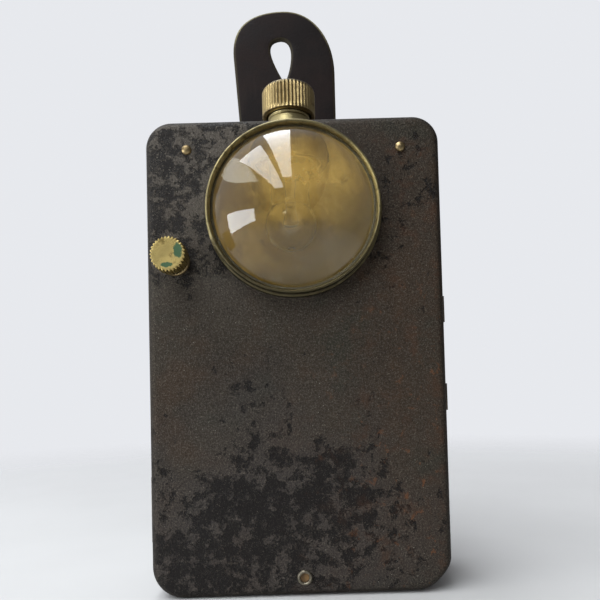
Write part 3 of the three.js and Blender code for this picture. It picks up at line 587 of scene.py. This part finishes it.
def wire(points, radius, sides=10):
    """A round wire along points, with flat ends."""
    path = [Vector(p) for p in points]
    neighbours = zip([path[0], *path], [*path[1:], path[-1]])
    tangents = [(after - before).normalized() for before, after in neighbours]
    side = tangents[0].orthogonal().normalized()
    angles = [2 * pi * k / sides for k in range(sides)]
    rings = []
    for p, t in zip(path, tangents):
        side = (side - t * side.dot(t)).normalized()
        up = t.cross(side)
        rings.append([p + side * (radius * cos(a)) + up * (radius * sin(a)) for a in angles])
    return tube(rings)


def uneven(share, spread, start=0.0):
    """A lathe's shape that changes the radius a little, by a share of itself, from place to place."""

    def changed(a, r, h):
        return r * (1 + share * noise.noise(Vector((start + spread * cos(a), h, spread * sin(a)))))

    return changed


def outline(inset, steps=14):
    """The case's front outline, inset from its outside, as (x, z) points."""
    x, top = HALF_WIDTH - inset, HEIGHT - inset
    upper, lower = max(CORNER_TOP - inset, 0.4), max(CORNER_BOTTOM - inset, 0.4)
    corners = (
        (x - lower, inset + lower, lower, -90), (x - upper, top - upper, upper, 0),
        (upper - x, top - upper, upper, 90), (lower - x, inset + lower, lower, 180))
    return [p for cx, cz, r, start in corners for p in arc((cx, cz), r, start, start + 90, steps)]


def dented(p):
    """The case's lower right front corner was knocked in."""
    reach = Vector((p.x - HALF_WIDTH, 0.5 * (p.y - FRONT), p.z)).length
    depth = DENT_DEPTH * max(0.0, 1 - reach / DENT_REACH) ** 1.2
    return p + Vector((-0.62, 0.25, 0.75)).normalized() * depth


def skin(face, open_end, inset):
    """Rings of one skin of a tray, as (inset, y), from its open rim to the middle of its face."""
    inward = 1 if open_end > face else -1
    wall = [(inset, open_end + (face + inward * EDGE - open_end) * k / 6) for k in range(6)]
    bend = ellipse((EDGE, face + inward * EDGE), inset - EDGE, inward * (inset - EDGE), 0, 90, 10)
    flat = [(EDGE + d, face + inward * inset) for d in (1, 2.5, 4.5, 7, 10, 14, 18, 22, 26)]
    return wall + bend + flat


def tray(name, face, open_end, cutters, shaped=None):
    """A pressed sheet tray with both its skins, cut by the given bodies. Returns its mesh, in metres."""
    rings = []
    for inset, y in skin(face, open_end, SHEET)[::-1] + skin(face, open_end, 0.0):
        ring = [Vector((x, y, z)) for x, z in outline(inset)]
        rings.append([shaped(p) for p in ring] if shaped else ring)
    return combined(solid_mesh(name, tube(rings)), "DIFFERENCE", *cutters)


def combined(mesh, operation, *bodies):
    """Cuts a closed mesh by closed (vertices, faces) bodies, or joins them to it."""
    work = placed("work", mesh)
    tools = [placed("tool", solid_mesh("tool", body)) for body in bodies]
    for tool in tools:
        step = work.modifiers.new("step", "BOOLEAN")
        step.operation, step.solver, step.object = operation, "EXACT", tool
    result = evaluated(work)
    for obj in (work, *tools):
        bpy.data.objects.remove(obj)
    return result


def rod(place, radius, low, high, axis="Y", segments=48):
    """Vertices and faces of a round bar, to cut holes with."""
    return lathe([(0, low), (radius, low), (radius, high), (0, high)], place, axis, segments)


def block(low, high):
    """Vertices and faces of a box between two corners."""
    verts = [(x, y, z) for x in (low[0], high[0]) for y in (low[1], high[1]) for z in (low[2], high[2])]
    return verts, [(0, 1, 3, 2), (4, 6, 7, 5), (0, 4, 5, 1), (2, 3, 7, 6), (0, 2, 6, 4), (1, 5, 7, 3)]


def refined(node, body, material, bevel=0.12, angle=40, wobble=0.0):
    """A CAD node's shape with rounded edges, and with a slight unevenness if asked."""
    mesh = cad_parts[node].data.copy()
    bm = bmesh.new()
    bm.from_mesh(mesh)
    bmesh.ops.remove_doubles(bm, verts=bm.verts, dist=1e-6)
    bmesh.ops.dissolve_limit(bm, angle_limit=radians(2), verts=bm.verts, edges=bm.edges)
    sharp = [e for e in bm.edges if len(e.link_faces) == 2 and e.calc_face_angle(0) > radians(angle)]
    bmesh.ops.bevel(
        bm, geom=sharp, offset=bevel * MM, segments=2, profile=0.6, affect="EDGES", clamp_overlap=True)
    for v in bm.verts:
        v.co += noise.noise_vector(v.co * 90) * wobble * MM
    bm.to_mesh(mesh)
    bm.free()
    return wrap(node + "_piece", mesh, material, body, (node,), 30)


# ---- case


def front_case():
    holes = [
        rod(LENS, LENS_OPENING, FRONT - 1, FRONT + 2, "Y", 128),
        rod(KNOB, SWITCH_HOLE, FRONT - 1, FRONT + 2),
        rod(centre_mm("bottom_eyelet"), EYELET_HOLE, FRONT - 1, FRONT + 2),
        rod(NECK, NECK_HOLE, HEIGHT - 2, HEIGHT + 1, "Z", 64),
    ]
    for node in ("front_rivet_left", "front_rivet_right"):
        holes.append(rod(centre_mm(node), RIVET_HOLE, FRONT - 1, FRONT + 2, "Y", 32))
    for side, low, high in SIDE_TABS:
        wall = side * HALF_WIDTH
        holes.append(block((wall - 2, SLOT_FRONT, low - SLOT_PLAY), (wall + 1, SLOT_BACK, high + SLOT_PLAY)))
    mesh = tray("front_case", FRONT, CASE_HIGH.y, holes, dented)
    wrap("front_case", mesh, PAINT, "case", ("front_shell",), 32)


def rear_case():
    rivets = ("tab_rivet_left", "tab_rivet_right", "spring_rivet")
    holes = [rod(centre_mm(node), RIVET_HOLE, BACK - 2, BACK + 1, "Y", 32) for node in rivets]
    mesh = tray("rear_case", BACK, COVER_LOW.y, holes)
    wrap("rear_case", mesh, PAINT, "cover", ("rear_cover",), 32)


def rivet_head(node, face, out, body, material, radius):
    """A domed rivet along Y: its head on the face, and a flat tail inside."""
    p = centre_mm(node)
    low, high = box_mm(node)
    tip, inner = (low.y, high.y) if out < 0 else (high.y, low.y)
    shank, tail = 0.7, inner + out * 0.42
    dome = ellipse((0, face), radius, tip - face, 0, 75, 5)
    profile = [(0, inner), (radius, inner), (radius, tail), (shank, tail), (shank, face), *dome, (0, tip)]
    turned(node + "_piece", profile, p, material, body, (node,), "Y", 40, 0.0, uneven(0.03, 3, p.x))


def bottom_eyelet():
    """A hollow rivet whose bore has filled with rust."""
    p = centre_mm("bottom_eyelet")
    low, high = box_mm("bottom_eyelet")
    bore, lip, flange = 1.0, 0.34, (high.x - low.x) / 2 - 0.1
    profile = [
        (bore, high.y - 0.1), *arc((bore + lip, low.y + 0.2), lip, 180, 300, 6), (flange, FRONT - 0.22),
        (flange, FRONT - 0.08), (1.3, FRONT - 0.08), (1.3, high.y - 0.4), (flange + 0.1, high.y - 0.3),
        (flange, high.y - 0.02), (bore, high.y - 0.1)]
    turned("eyelet", profile, p, EYELET_BRASS, "case", ("bottom_eyelet",), "Y", 48, 0.05, uneven(0.05, 2))
    plug = bore - 0.03
    profile = [
        (0, FRONT + 0.1), (bore * 0.6, FRONT + 0.02), (plug, FRONT - 0.08), (plug, FRONT + 0.9),
        (0, FRONT + 0.9)]
    turned("eyelet_rust", profile, p, RUST, "case", (), "Y", 32, 0.03)


# ---- lens


def bezel():
    """A spun collar on a wider foot; its rolled lip slopes in over the glass."""
    low, high = box_mm("lens_bezel")
    foot, lip, seat = (high.x - low.x) / 2, low.y, high.y
    collar, bore, mouth = foot - 0.45, box_mm("bullseye_lens")[1].x + 0.2, LENS_RIM + 0.1
    waist = collar - 0.12
    profile = [
        (foot, seat), (foot, seat - 0.8), *arc((foot - 0.35, seat - 0.8), 0.35, 0, -80, 5),
        (waist, seat - 1.22), (waist, seat - 1.5), (collar, seat - 1.65), (collar, lip + 0.45),
        *arc((collar - 0.38, lip + 0.4), 0.38, 0, -115, 8), (mouth + 0.06, lip + 0.62), (mouth, lip + 0.75),
        (mouth, seat - 2.6), (bore, seat - 2.6), (bore, seat), (foot, seat)]

    def handled(a, radius, height):
        return radius + 0.06 * noise.noise(Vector((2.2 * cos(a), height * 0.4, 2.2 * sin(a))))

    turned("bezel", profile, LENS, BEZEL_BRASS, "case", ("lens_bezel",), "Y", 180, 0.0, handled, 50)


def cap_of_sphere(base, edge, apex, steps):
    """Points of a sphere's cap, from its rim of radius base at height edge to just before its apex."""
    rise = edge - apex
    sphere = (base**2 + rise**2) / (2 * rise)
    top = asin(base / sphere)
    angles = [top * (1 - i / steps) for i in range(steps)]
    return [(sphere * sin(a), apex + sphere * (1 - cos(a))) for a in angles]


def bullseye():
    low, high = box_mm("bullseye_lens")
    flange = (high.x - low.x) / 2
    shoulder = high.y - FLANGE_THICK
    outside = cap_of_sphere(flange - 0.5, shoulder, low.y, 44)
    inside = cap_of_sphere(HOLLOW_RIM, high.y, low.y + GLASS_WALL, 36)
    profile = [
        (0, low.y + GLASS_WALL), *inside[::-1], (flange - 0.2, high.y), (flange, high.y - 0.2),
        (flange, shoulder + 0.2), (flange - 0.2, shoulder), *outside, (0, low.y)]
    turned("bullseye", profile, LENS, GLASS, "case", ("bullseye_lens",), "Y", 160, 0.0, None, 60)


def bowl():
    """A half-ellipse reflector with a flat lip and a collar round the hole for the bulb."""
    low, high = box_mm("reflector")
    lip, rim, wall, hole, collar_top = (high.x - low.x) / 2, 17.0, 0.4, 6.5, 99.5
    deep = high.y - low.y - wall
    steps = 28

    def curve(grow):
        return ellipse((0, low.y), rim + grow, deep + grow, 0, 90 - 90 / steps, steps - 1)

    def upright(radius, top):
        return rod(NECK, radius, LENS.z + 3, top, "Z", 72)

    inner = [(0, low.y + deep), *curve(0)[::-1]]
    outer = [(lip, low.y), (lip, low.y + wall), (rim + wall, low.y + wall), *curve(wall)[2:], (0, high.y)]
    inside = lathe([*inner, (0, low.y)], LENS, "Y", 112)
    collar = combined(solid_mesh("collar", upright(hole + wall, collar_top)), "DIFFERENCE", inside)
    collar_body = [v.co / MM for v in collar.vertices], [tuple(face.vertices) for face in collar.polygons]
    body = combined(solid_mesh("bowl", lathe(inner + outer, LENS, "Y", 112)), "UNION", collar_body)
    body = combined(body, "DIFFERENCE", upright(hole, HEIGHT))
    wrap("bowl", body, BOWL, "case", ("reflector",), 40)


def lens_ring(node, inner, material):
    """A flat ring behind the lens, with the outer size and the place of its CAD node."""
    low, high = box_mm(node)
    outer = (high.x - low.x) / 2
    profile = [(inner, low.y), (outer, low.y), (outer, high.y), (inner, high.y), (inner, low.y)]
    turned(node + "_piece", profile, LENS, material, "case", (node,), "Y", 120, 0.1)


# ---- neck, socket and bulb


def screw_thread(low, high, crest, root, pitch=THREAD, steps=8):
    """A profile's stretch of round thread, drawn as rings, from low to high."""
    count = max(1, round((high - low) / pitch)) * steps
    waves = [0.5 - 0.5 * cos(2 * pi * i / steps) for i in range(count + 1)]
    return [(root + (crest - root) * wave, low + (high - low) * i / count) for i, wave in enumerate(waves)]


def neck():
    low, high = box_mm("neck_tube")
    flange, r, bore = (high.x - low.x) / 2, 5.15, TUBE_BORE
    profile = [
        (bore, low.z), (flange, low.z), (flange, low.z + 0.95), (r, low.z + 0.95), (r, HEIGHT + 0.1),
        (r + 0.22, HEIGHT + 0.2), (r + 0.22, HEIGHT + 0.75), (r, HEIGHT + 1.0), (r, HEIGHT + 5.0),
        *screw_thread(HEIGHT + 5.4, high.z - 0.4, r, r - 0.2), (r - 0.1, high.z), (bore, high.z),
        (bore, low.z)]
    turned("neck", profile, NECK, NECK_BRASS, "case", ("neck_tube",), "Z", 96, 0.05)


def socket():
    low, high = box_mm("socket_shell")
    inner, outer = TUBE_BORE, (high.x - low.x) / 2
    start, end = low.z + 0.6, high.z - 0.6
    inside = screw_thread(start, end, inner, inner + 0.2, BULB_THREAD)[::-1]
    outside = screw_thread(start, end, outer - 0.2, outer, BULB_THREAD)
    profile = [
        (inner + 0.1, low.z), (outer, low.z), *outside, (outer, high.z), (inner + 0.1, high.z), *inside,
        (inner + 0.1, low.z)]
    turned("socket", profile, NECK, CONTACT, "case", ("socket_shell",), "Z", 72, 0.0)
    refined("socket_insulator", "case", SLEEVE)


def bulb():
    low, high = box_mm("bulb_base")
    r = (high.x - low.x) / 2
    profile = [
        (r - 0.65, low.z), (r - 0.2, low.z), *screw_thread(low.z + 0.7, high.z - 1.3, r, r - 0.3, 1.7),
        (r - 0.5, high.z - 0.7), (r - 1.2, high.z - 0.1), (2.3, high.z), (2.3, high.z - 0.3),
        (r - 1.3, high.z - 0.6), (r - 0.7, high.z - 1.4), (r - 0.65, low.z)]
    turned("bulb_shell", profile, NECK, CONTACT, "case", ("bulb_base",), "Z", 64, 0.04)
    low, high = box_mm("bulb_insulator")
    profile = [(0, low.z), (2.8, low.z), (2.5, low.z + 0.4), (1.9, high.z), (0, high.z)]
    turned("bulb_collar", profile, NECK, PITCH, "case", ("bulb_insulator",), "Z", 48, 0.1)
    low, high = box_mm("bulb_tip")
    r, foot = 1.25, low.z + 0.1
    profile = [(0, low.z), (r, low.z), *ellipse((0, foot), r, high.z - foot, 10, 74, 4), (0, high.z)]
    turned("bulb_solder", profile, NECK, SOLDER, "case", ("bulb_tip",), "Z", 32, 0.0)
    globe()
    filament()


def globe():
    """A blown globe with a small pip at its lowest point and a straight stem."""
    low, high = box_mm("bulb_glass")
    r, wall, stem = (high.x - low.x) / 2, 0.3, 3.4
    centre = low.z + r

    def side(radius, neck_radius, pip):
        reach = degrees(asin(neck_radius / radius))
        ball = ellipse((0, centre), radius, radius, (180 - reach) / 10 - 90, 90 - reach, 27)
        bottom = centre - radius
        tip = [(0, bottom - pip), (0.25, bottom - pip + 0.12), (0.55, bottom + 0.06)]
        return [*tip, *ball, (neck_radius, ball[-1][1] + 1.2), (neck_radius, high.z)]

    profile = side(r, stem, 0.0) + side(r - wall, stem - wall, -0.15)[::-1]
    turned("globe", profile, NECK, BULB_GLASS, "case", ("bulb_glass",), "Z", 64, 0.0, None, 60)


def filament():
    """Two leads through a glass bead, with the fine coil between their ends."""
    top, centre = box_mm("filament")[1].z, box_mm("bulb_glass")[0].z + 4.7
    half, sag, coil_r, turns, steps = 1.3, 0.3, 0.2, 14, 10
    x, y = NECK.x, NECK.y
    lead = [
        (x - half, y, top), (x - half * 0.55, y, centre + 5), (x - half * 0.6, y, centre + 3),
        (x - half, y, centre + 0.6)]
    coil = []
    for i in range(turns * steps + 1):
        t, a = i / (turns * steps), 2 * pi * i / steps
        hang = sag * sin(pi * t)
        coil.append((x - half + 2 * half * t, y + coil_r * sin(a), centre - hang + coil_r * cos(a)))
    back = [(2 * x - p[0], *p[1:]) for p in lead[::-1]]
    piece("filament_wire", wire([*lead, *coil, *back], 0.07, 6), TUNGSTEN, "case", ("filament",))
    bead = [(0, centre + 3.2), *ellipse((0, centre + 4), 1.0, 0.8, -70, 65, 9), (0, centre + 4.8)]
    turned("filament_bead", bead, NECK, BULB_GLASS, "case", (), "Z", 32, 0.0)


# ---- cap, spring and knob


def knurl(teeth, depth, least, low, high, rise):
    """Straight knurls where the body is wider than the least radius, running out at the low and high ends."""

    def cut(a, r, h):
        if r <= least:
            return r
        wave = 0.5 + 0.5 * cos(a * teeth)
        return r - depth * unit((h - low) / rise) * unit((high - h) / rise) * (1 - wave**0.7)

    return cut


def cap():
    low, high = box_mm("top_cap")
    r, inner, roof, bend = 6.6, 5.65, high.z - 1.3, 1.5
    foot, shoulder = low.z + 0.2, high.z - bend
    thread = screw_thread(low.z + 0.8, roof - 1.0, inner, inner - 0.2)[::-1]
    profile = [
        (inner, low.z), (r - 0.25, low.z), *[(r, foot + (shoulder - foot) * i / 10) for i in range(10)],
        *arc((r - bend, shoulder), bend, 0, 80, 9), (r - 3, high.z - 0.005), (0, high.z - 0.02),
        (0, roof), (inner, roof), *thread, (inner, low.z)]
    teeth = 44
    shape = knurl(teeth, 0.3, inner + 0.3, low.z + 0.1, high.z - 0.35, 0.9)
    turned("cap", profile, NECK, CAP_BRASS, "cap", ("top_cap",), "Z", teeth * 8, 0.0, shape, 50)


def cap_inside():
    low, high = box_mm("cap_contact")
    profile = [
        (0, low.z), (1.5, low.z), (2.9, low.z + 0.3), (3.2, low.z + 0.5), (3.2, low.z + 1),
        (1.1, low.z + 1.2), (1.1, high.z - 0.3), (0, high.z)]
    turned("cap_plunger", profile, NECK, BRASS, "cap_plunger", ("cap_contact",), "Z", 56, 0.08)
    low, high = box_mm("cap_spring")
    r, thick, turns, steps = 2.5, 0.28, 6, 28
    bottom, top = low.z + thick, high.z - thick
    points = []
    for i in range(turns * steps + 1):
        done = i / steps
        # the end turns lie flat
        lift = unit((done - 0.8) / (turns - 1.6))
        a = 2 * pi * done
        points.append((NECK.x + r * cos(a), NECK.y + r * sin(a), bottom + (top - bottom) * lift))
    piece("cap_spring_wire", wire(points, thick), STEEL, "cap_plunger", ("cap_spring",))


def knob():
    low, high = box_mm("switch_knob")
    r, under, top = 3.85, -17.1, low.y
    rim, foot = top + 0.3, under - 0.4
    profile = [
        (0, top + 0.06), (0.9, top + 0.06), (1.1, top + 0.05), (r - 0.9, top + 0.01), (r - 0.7, top),
        *arc((r - 0.3, rim), 0.3, -90, 0, 5), *[(r, rim + (foot - rim) * i / 8) for i in range(1, 9)],
        (r - 0.3, under), (2.0, under), (1.6, under + 0.3), (1.35, under + 0.8),
        *screw_thread(under + 1.0, high.y - 0.4, 1.5, 1.33), (1.1, high.y), (0, high.y)]
    teeth = 30
    shape = knurl(teeth, 0.34, r - 0.6, top - 0.35, under - 0.1, 0.4)
    turned("knob", profile, KNOB, KNOB_BRASS, "switch", ("switch_knob",), "Y", teeth * 12, 0.0, shape, 50)


def bush_and_nut():
    low, high = box_mm("switch_bush")
    bore, rim, thread = 1.6, 3.4, 2.45
    profile = [
        (bore, low.y), (3.1, low.y), (rim, low.y + 0.3), (rim, FRONT - 0.1), (thread, FRONT - 0.1),
        *screw_thread(FRONT, high.y - 0.2, thread, 2.3)[1:], (2.3, high.y), (bore, high.y), (bore, low.y)]
    turned("bush", profile, KNOB, BRASS, "case", ("switch_bush",), "Y", 64, 0.06)
    refined("bush_nut", "case", BRASS, 0.2, 50)
    low, high = box_mm("switch_tip")
    bore, r, bend = 1.65, 2.2, 1.0
    profile = [
        (bore, low.y), (r, low.y), (r, high.y - bend), *arc((r - bend, high.y - bend), bend, 0, 90, 6),
        (0, high.y), (0, high.y - 1.8), (bore, high.y - 1.8), (bore, low.y)]
    turned("tip", profile, KNOB, FIBRE, "switch_pusher", ("switch_tip",), "Y", 48, 0.0)


# ---- leather tab


def bezier(a, b, c, d, steps):
    """Points of a cubic curve after its first."""
    points = []
    for t in (i / steps for i in range(1, steps + 1)):
        shares = (1 - t) ** 3, 3 * (1 - t) ** 2 * t, 3 * (1 - t) * t**2, t**3
        points.append(tuple(sum(s * p[k] for s, p in zip(shares, (a, b, c, d))) for k in (0, 1)))
    return points


def tab_outline():
    """The strap from its foot to its rounded end, as (x, z) points."""
    low, high = box_mm("tab_base")
    left, right, foot = low.x, high.x, low.z
    top = box_mm("tab_strap")[1].z
    lean = -2.2
    points = [(left + 0.3, foot + 5)]
    points += bezier(points[-1], (left + 0.3, foot + 1.5), (left + 2, foot), (left + 5, foot), 6)
    points += [(right - 5, foot)]
    points += bezier(points[-1], (right - 2, foot), (right - 0.3, foot + 1.5), (right - 0.3, foot + 5), 6)
    points += [(right, 107.0), (right + 0.1, 134.5)]
    points += bezier(points[-1], (right, 145), (6, top), (-2, top), 18)
    points += bezier(points[-1], (-12.2, top), (left + lean - 0.6, 148.2), (left + lean, 139.5), 18)
    return points + [(left, 108.0)]


def tab_hole():
    """The teardrop buttonhole and the slit below it."""
    points = [(-2.1, 124), (-1.4, 133)]
    points += bezier(points[-1], (0.2, 137.2), (1, 143.8), (-2.8, 143.9), 12)
    points += bezier(points[-1], (-7.2, 143.7), (-6.4, 139.8), (-2.8, 133), 12)
    return points + [(-2.8, 124)]


def leather_tab():
    """One strap from its riveted foot to its end, sliced across in rows and columns."""
    middle, bevel = centre_mm("tab_strap").y, 0.8
    curve = bpy.data.curves.new("tab", "CURVE")
    curve.dimensions, curve.fill_mode = "2D", "BOTH"
    curve.extrude = (LEATHER / 2 - bevel) * MM
    curve.bevel_depth, curve.bevel_resolution, curve.offset = bevel * MM, 4, -bevel * MM
    for points in (tab_outline(), tab_hole()):
        spline = curve.splines.new("POLY")
        spline.points.add(len(points) - 1)
        for p, (x, z) in zip(spline.points, points):
            p.co = (x * MM, z * MM, 0, 1)
        spline.use_cyclic_u = True
    source = placed("tab_curve", curve)
    mesh = evaluated(source)
    bpy.data.objects.remove(source)
    mesh.transform(Matrix.Translation((0, middle * MM, 0)) @ Matrix.Rotation(radians(90), 4, "X"))
    bm = bmesh.new()
    bm.from_mesh(mesh)
    bmesh.ops.remove_doubles(bm, verts=bm.verts, dist=2e-6)
    low, high = box_mm("tab_base")[0].z, box_mm("tab_strap")[1].z
    slices = [((0, 0, low + k), (0, 0, 1)) for k in range(1, 70) if low + k < high - 0.5]
    slices += [((k, 0, 0), (1, 0, 0)) for k in range(-14, 12, 2)]
    for place, across in slices:
        everything = bm.verts[:] + bm.edges[:] + bm.faces[:]
        bmesh.ops.bisect_plane(bm, geom=everything, plane_co=[x * MM for x in place], plane_no=across)
    for v in bm.verts:
        above = max(0.0, v.co.z / MM - 112) / 40
        # the free end is a little cupped, and its faces are uneven
        cup = 0.5 * above * (((v.co.x / MM + 1) / 13) ** 2)
        v.co.y += (cup + 0.12 * noise.noise(v.co * 120)) * MM * min(1.0, above * 3)
    bm.to_mesh(mesh)
    bm.free()
    tab = wrap("leather_tab", mesh, LEATHER_SKIN, None, (), 60)
    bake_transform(tab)
    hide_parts("tab_base", "tab_strap")


# ---- contacts, battery and inner plates


def contact_leaf():
    """One spring strip from its riveted foot to its free end, where it narrows."""
    low, high = box_mm("contact_leaf")
    foot_top, steps = box_mm("leaf_foot")[1].z, 34
    rings = []
    for i in range(steps + 1):
        z = low.z + (foot_top - low.z) * i / steps
        narrow = 0.8 * max(0.0, 1 - (z - low.z) / 3.0) ** 2
        left, right = low.x + narrow, high.x - narrow
        rings.append([(left, low.y, z), (right, low.y, z), (right, high.y, z), (left, high.y, z)])
    leaf = piece("leaf", tube(rings), CONTACT, None, ())
    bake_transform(leaf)
    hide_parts("contact_leaf", "leaf_foot")


def battery():
    """The jacket and strips of a flat battery, and the pitch poured in its top."""
    refined("battery_jacket", "case", PAPER, 0.35, 40, 0.15)
    low, high = box_mm("battery_top_seal")
    cols, rows = 40, 14
    across = cols + 1
    verts, faces = [], []
    for j in range(rows + 1):
        for i in range(cols + 1):
            u, v = i / cols, j / rows
            x, y = low.x + (high.x - low.x) * u, low.y + (high.y - low.y) * v
            sink = 0.9 * (1 - unit(min(30 * min(u, 1 - u), 12 * min(v, 1 - v)))) ** 2
            z = high.z - 0.35 - sink + 0.3 * noise.noise(Vector((x * 0.25, y * 0.25, 3)))
            verts.append((x, y, min(z, high.z - 0.05)))
    top = len(verts)
    verts += [(x, y, low.z) for x, y, z in verts]
    for j in range(rows):
        for i in range(cols):
            quad = [j * across + i, j * across + i + 1, (j + 1) * across + i + 1, (j + 1) * across + i]
            faces += [tuple(quad), tuple(top + k for k in (quad[0], *quad[:0:-1]))]
    edge = [*range(cols), *range(cols, top - 1, across), *range(top - 1, top - across, -1)]
    edge += range(top - across, 0, -across)
    for a, b in zip(edge, edge[1:] + edge[:1]):
        faces.append((b, a, top + a, top + b))
    piece("battery_pitch", (verts, faces), PITCH, "case", ("battery_top_seal",))
    for node in ("battery_strip_long", "battery_strip_short"):
        refined(node, "case", CONTACT, 0.08)


def inner_plates():
    """Flat sheet pieces keep their CAD shape, with broken edges."""
    plates = {
        "case": {
            "chassis_plate": STEEL, "socket_bracket": TIN, "fibre_liner": FIBRE, "leaf_insulator": FIBRE,
            "lead_strip": CONTACT, "hinge_leaf_case": STEEL, "hinge_pin": STEEL},
        "cover": {
            "cover_frame": TIN, "catch_spring": TIN, "battery_spring": TIN, "tab_plate": BRASS,
            "hinge_leaf_cover": STEEL}}
    for body, nodes in plates.items():
        for node, material in nodes.items():
            refined(node, body, material, 0.1)


# ---- stage


def floor():
    """A pale round floor that fades into the background."""
    g = Graph("floor", Roughness=0.9)
    g.color = g.mix(g.step(g.noise(0.02, 3, 0.5), 0.3, 0.7), (0.55, 0.547, 0.54), (0.57, 0.567, 0.56))
    g.put(g.step(g.vector("LENGTH", g.place), 70.0, 480.0, 1.0, 0.0), g.shader.inputs["Alpha"])
    disc = lathe([(0, -0.02), (1400, -0.02)], Vector())
    piece("floor", disc, g.finish(), None, ())


def panel(name, centre, aim, width, height, radiance, color):
    """A soft rectangular light, in metres, that faces the aim."""
    data = bpy.data.lights.new(name, "AREA")
    data.shape, data.size, data.size_y = "RECTANGLE", width, height
    data.energy = radiance * pi * width * height
    data.color = color
    obj = placed(name, data)
    obj.location = centre
    obj.rotation_euler = (Vector(aim) - Vector(centre)).to_track_quat("-Z", "Y").to_euler()
    return obj


def lights():
    """A tall window in two panes above and in front, a smaller one low on the left, and a pale room."""
    height = 0.9
    day = (0.93, 0.965, 1.0)
    for name, left, right, front, back in (
        ("pane_left", -0.66, -0.32, -1.75, 0.08),
        ("pane_right", -0.24, -0.02, -1.1, 0.36),
    ):
        middle = ((left + right) / 2, (front + back) / 2)
        panel(name, (*middle, height), (*middle, 0), right - left, back - front, 6.7, day)
    low_window = panel("low_window", (-0.42, -0.245, 0.071), (0, -0.245, 0.071), 0.36, 0.13, 10, day)
    low_window.visible_transmission = False
    fill = panel("fill", (0.5, -1.0, 0.4), (0, 0, 0.06), 0.8, 0.8, 0.5, (1.0, 0.95, 0.88))
    fill.visible_glossy = False
    room()


def room():
    """Bright paper behind and to the left, darker room before the object; the backdrop is even and pale."""
    world = bpy.data.worlds.new("room")
    bpy.context.scene.world = world
    world.use_nodes = True
    g = Nodes(world.node_tree)
    around = g.tree.nodes["Background"]
    around.inputs["Color"].default_value = (0.93, 0.945, 1.0, 1)
    behind = g.vector("DOT_PRODUCT", g.node("TexCoord").outputs["Generated"], (-0.8, 0.6, 0))
    g.put(g.step(behind, -0.25, 0.6, 0.14, 0.85), around.inputs["Strength"])
    backdrop = g.node("Background", {"Color": (0.80, 0.815, 0.85, 1)})
    seen = g.node("LightPath").outputs["Is Camera Ray"]
    surface = g.mix_shaders(seen, around.outputs[0], backdrop.outputs[0])
    g.put(surface, g.tree.nodes["World Output"].inputs[0])


def camera():
    """In front of the lens side, a little below the middle, looking slightly up."""
    data = bpy.data.cameras.new("camera")
    data.sensor_width, data.lens = 36.0, 34.55
    data.shift_x, data.shift_y = -0.0132, 0.1177
    data.clip_start, data.clip_end = 0.01, 20.0
    obj = placed("camera", data)
    pitch, roll = radians(2.21), radians(1.54)
    obj.location = Vector((2.29, -143.03, 45.06)) * MM
    turn = Matrix.Rotation(radians(90) + pitch, 4, "X") @ Matrix.Rotation(-roll, 4, "Z")
    obj.rotation_euler = turn.to_euler()
    bpy.context.scene.camera = obj


# ---- assembly


camera()
lights()
floor()

front_case()
rear_case()
for rivet in ("front_rivet_left", "front_rivet_right"):
    rivet_head(rivet, FRONT - 0.05, -1, "case", BRASS, 1.15)
for rivet in ("tab_rivet_left", "tab_rivet_right"):
    rivet_head(rivet, box_mm("tab_plate")[1].y + 0.05, 1, "cover", BRASS, 1.6)
rivet_head("spring_rivet", BACK + 0.05, 1, "cover", STEEL, 1.2)
rivet_head("leaf_rivet", box_mm("leaf_foot")[1].y + 0.05, 1, "case", CONTACT, 1.4)
bottom_eyelet()

bezel()
bullseye()
bowl()
lens_ring("lens_gasket", 16.6, RUBBER)
lens_ring("reflector_retainer", 17.8, TIN)

neck()
socket()
bulb()
cap()
cap_inside()
knob()
bush_and_nut()
leather_tab()
contact_leaf()
battery()
inner_plates()

bpy.context.scene.view_settings.view_transform = "Standard"
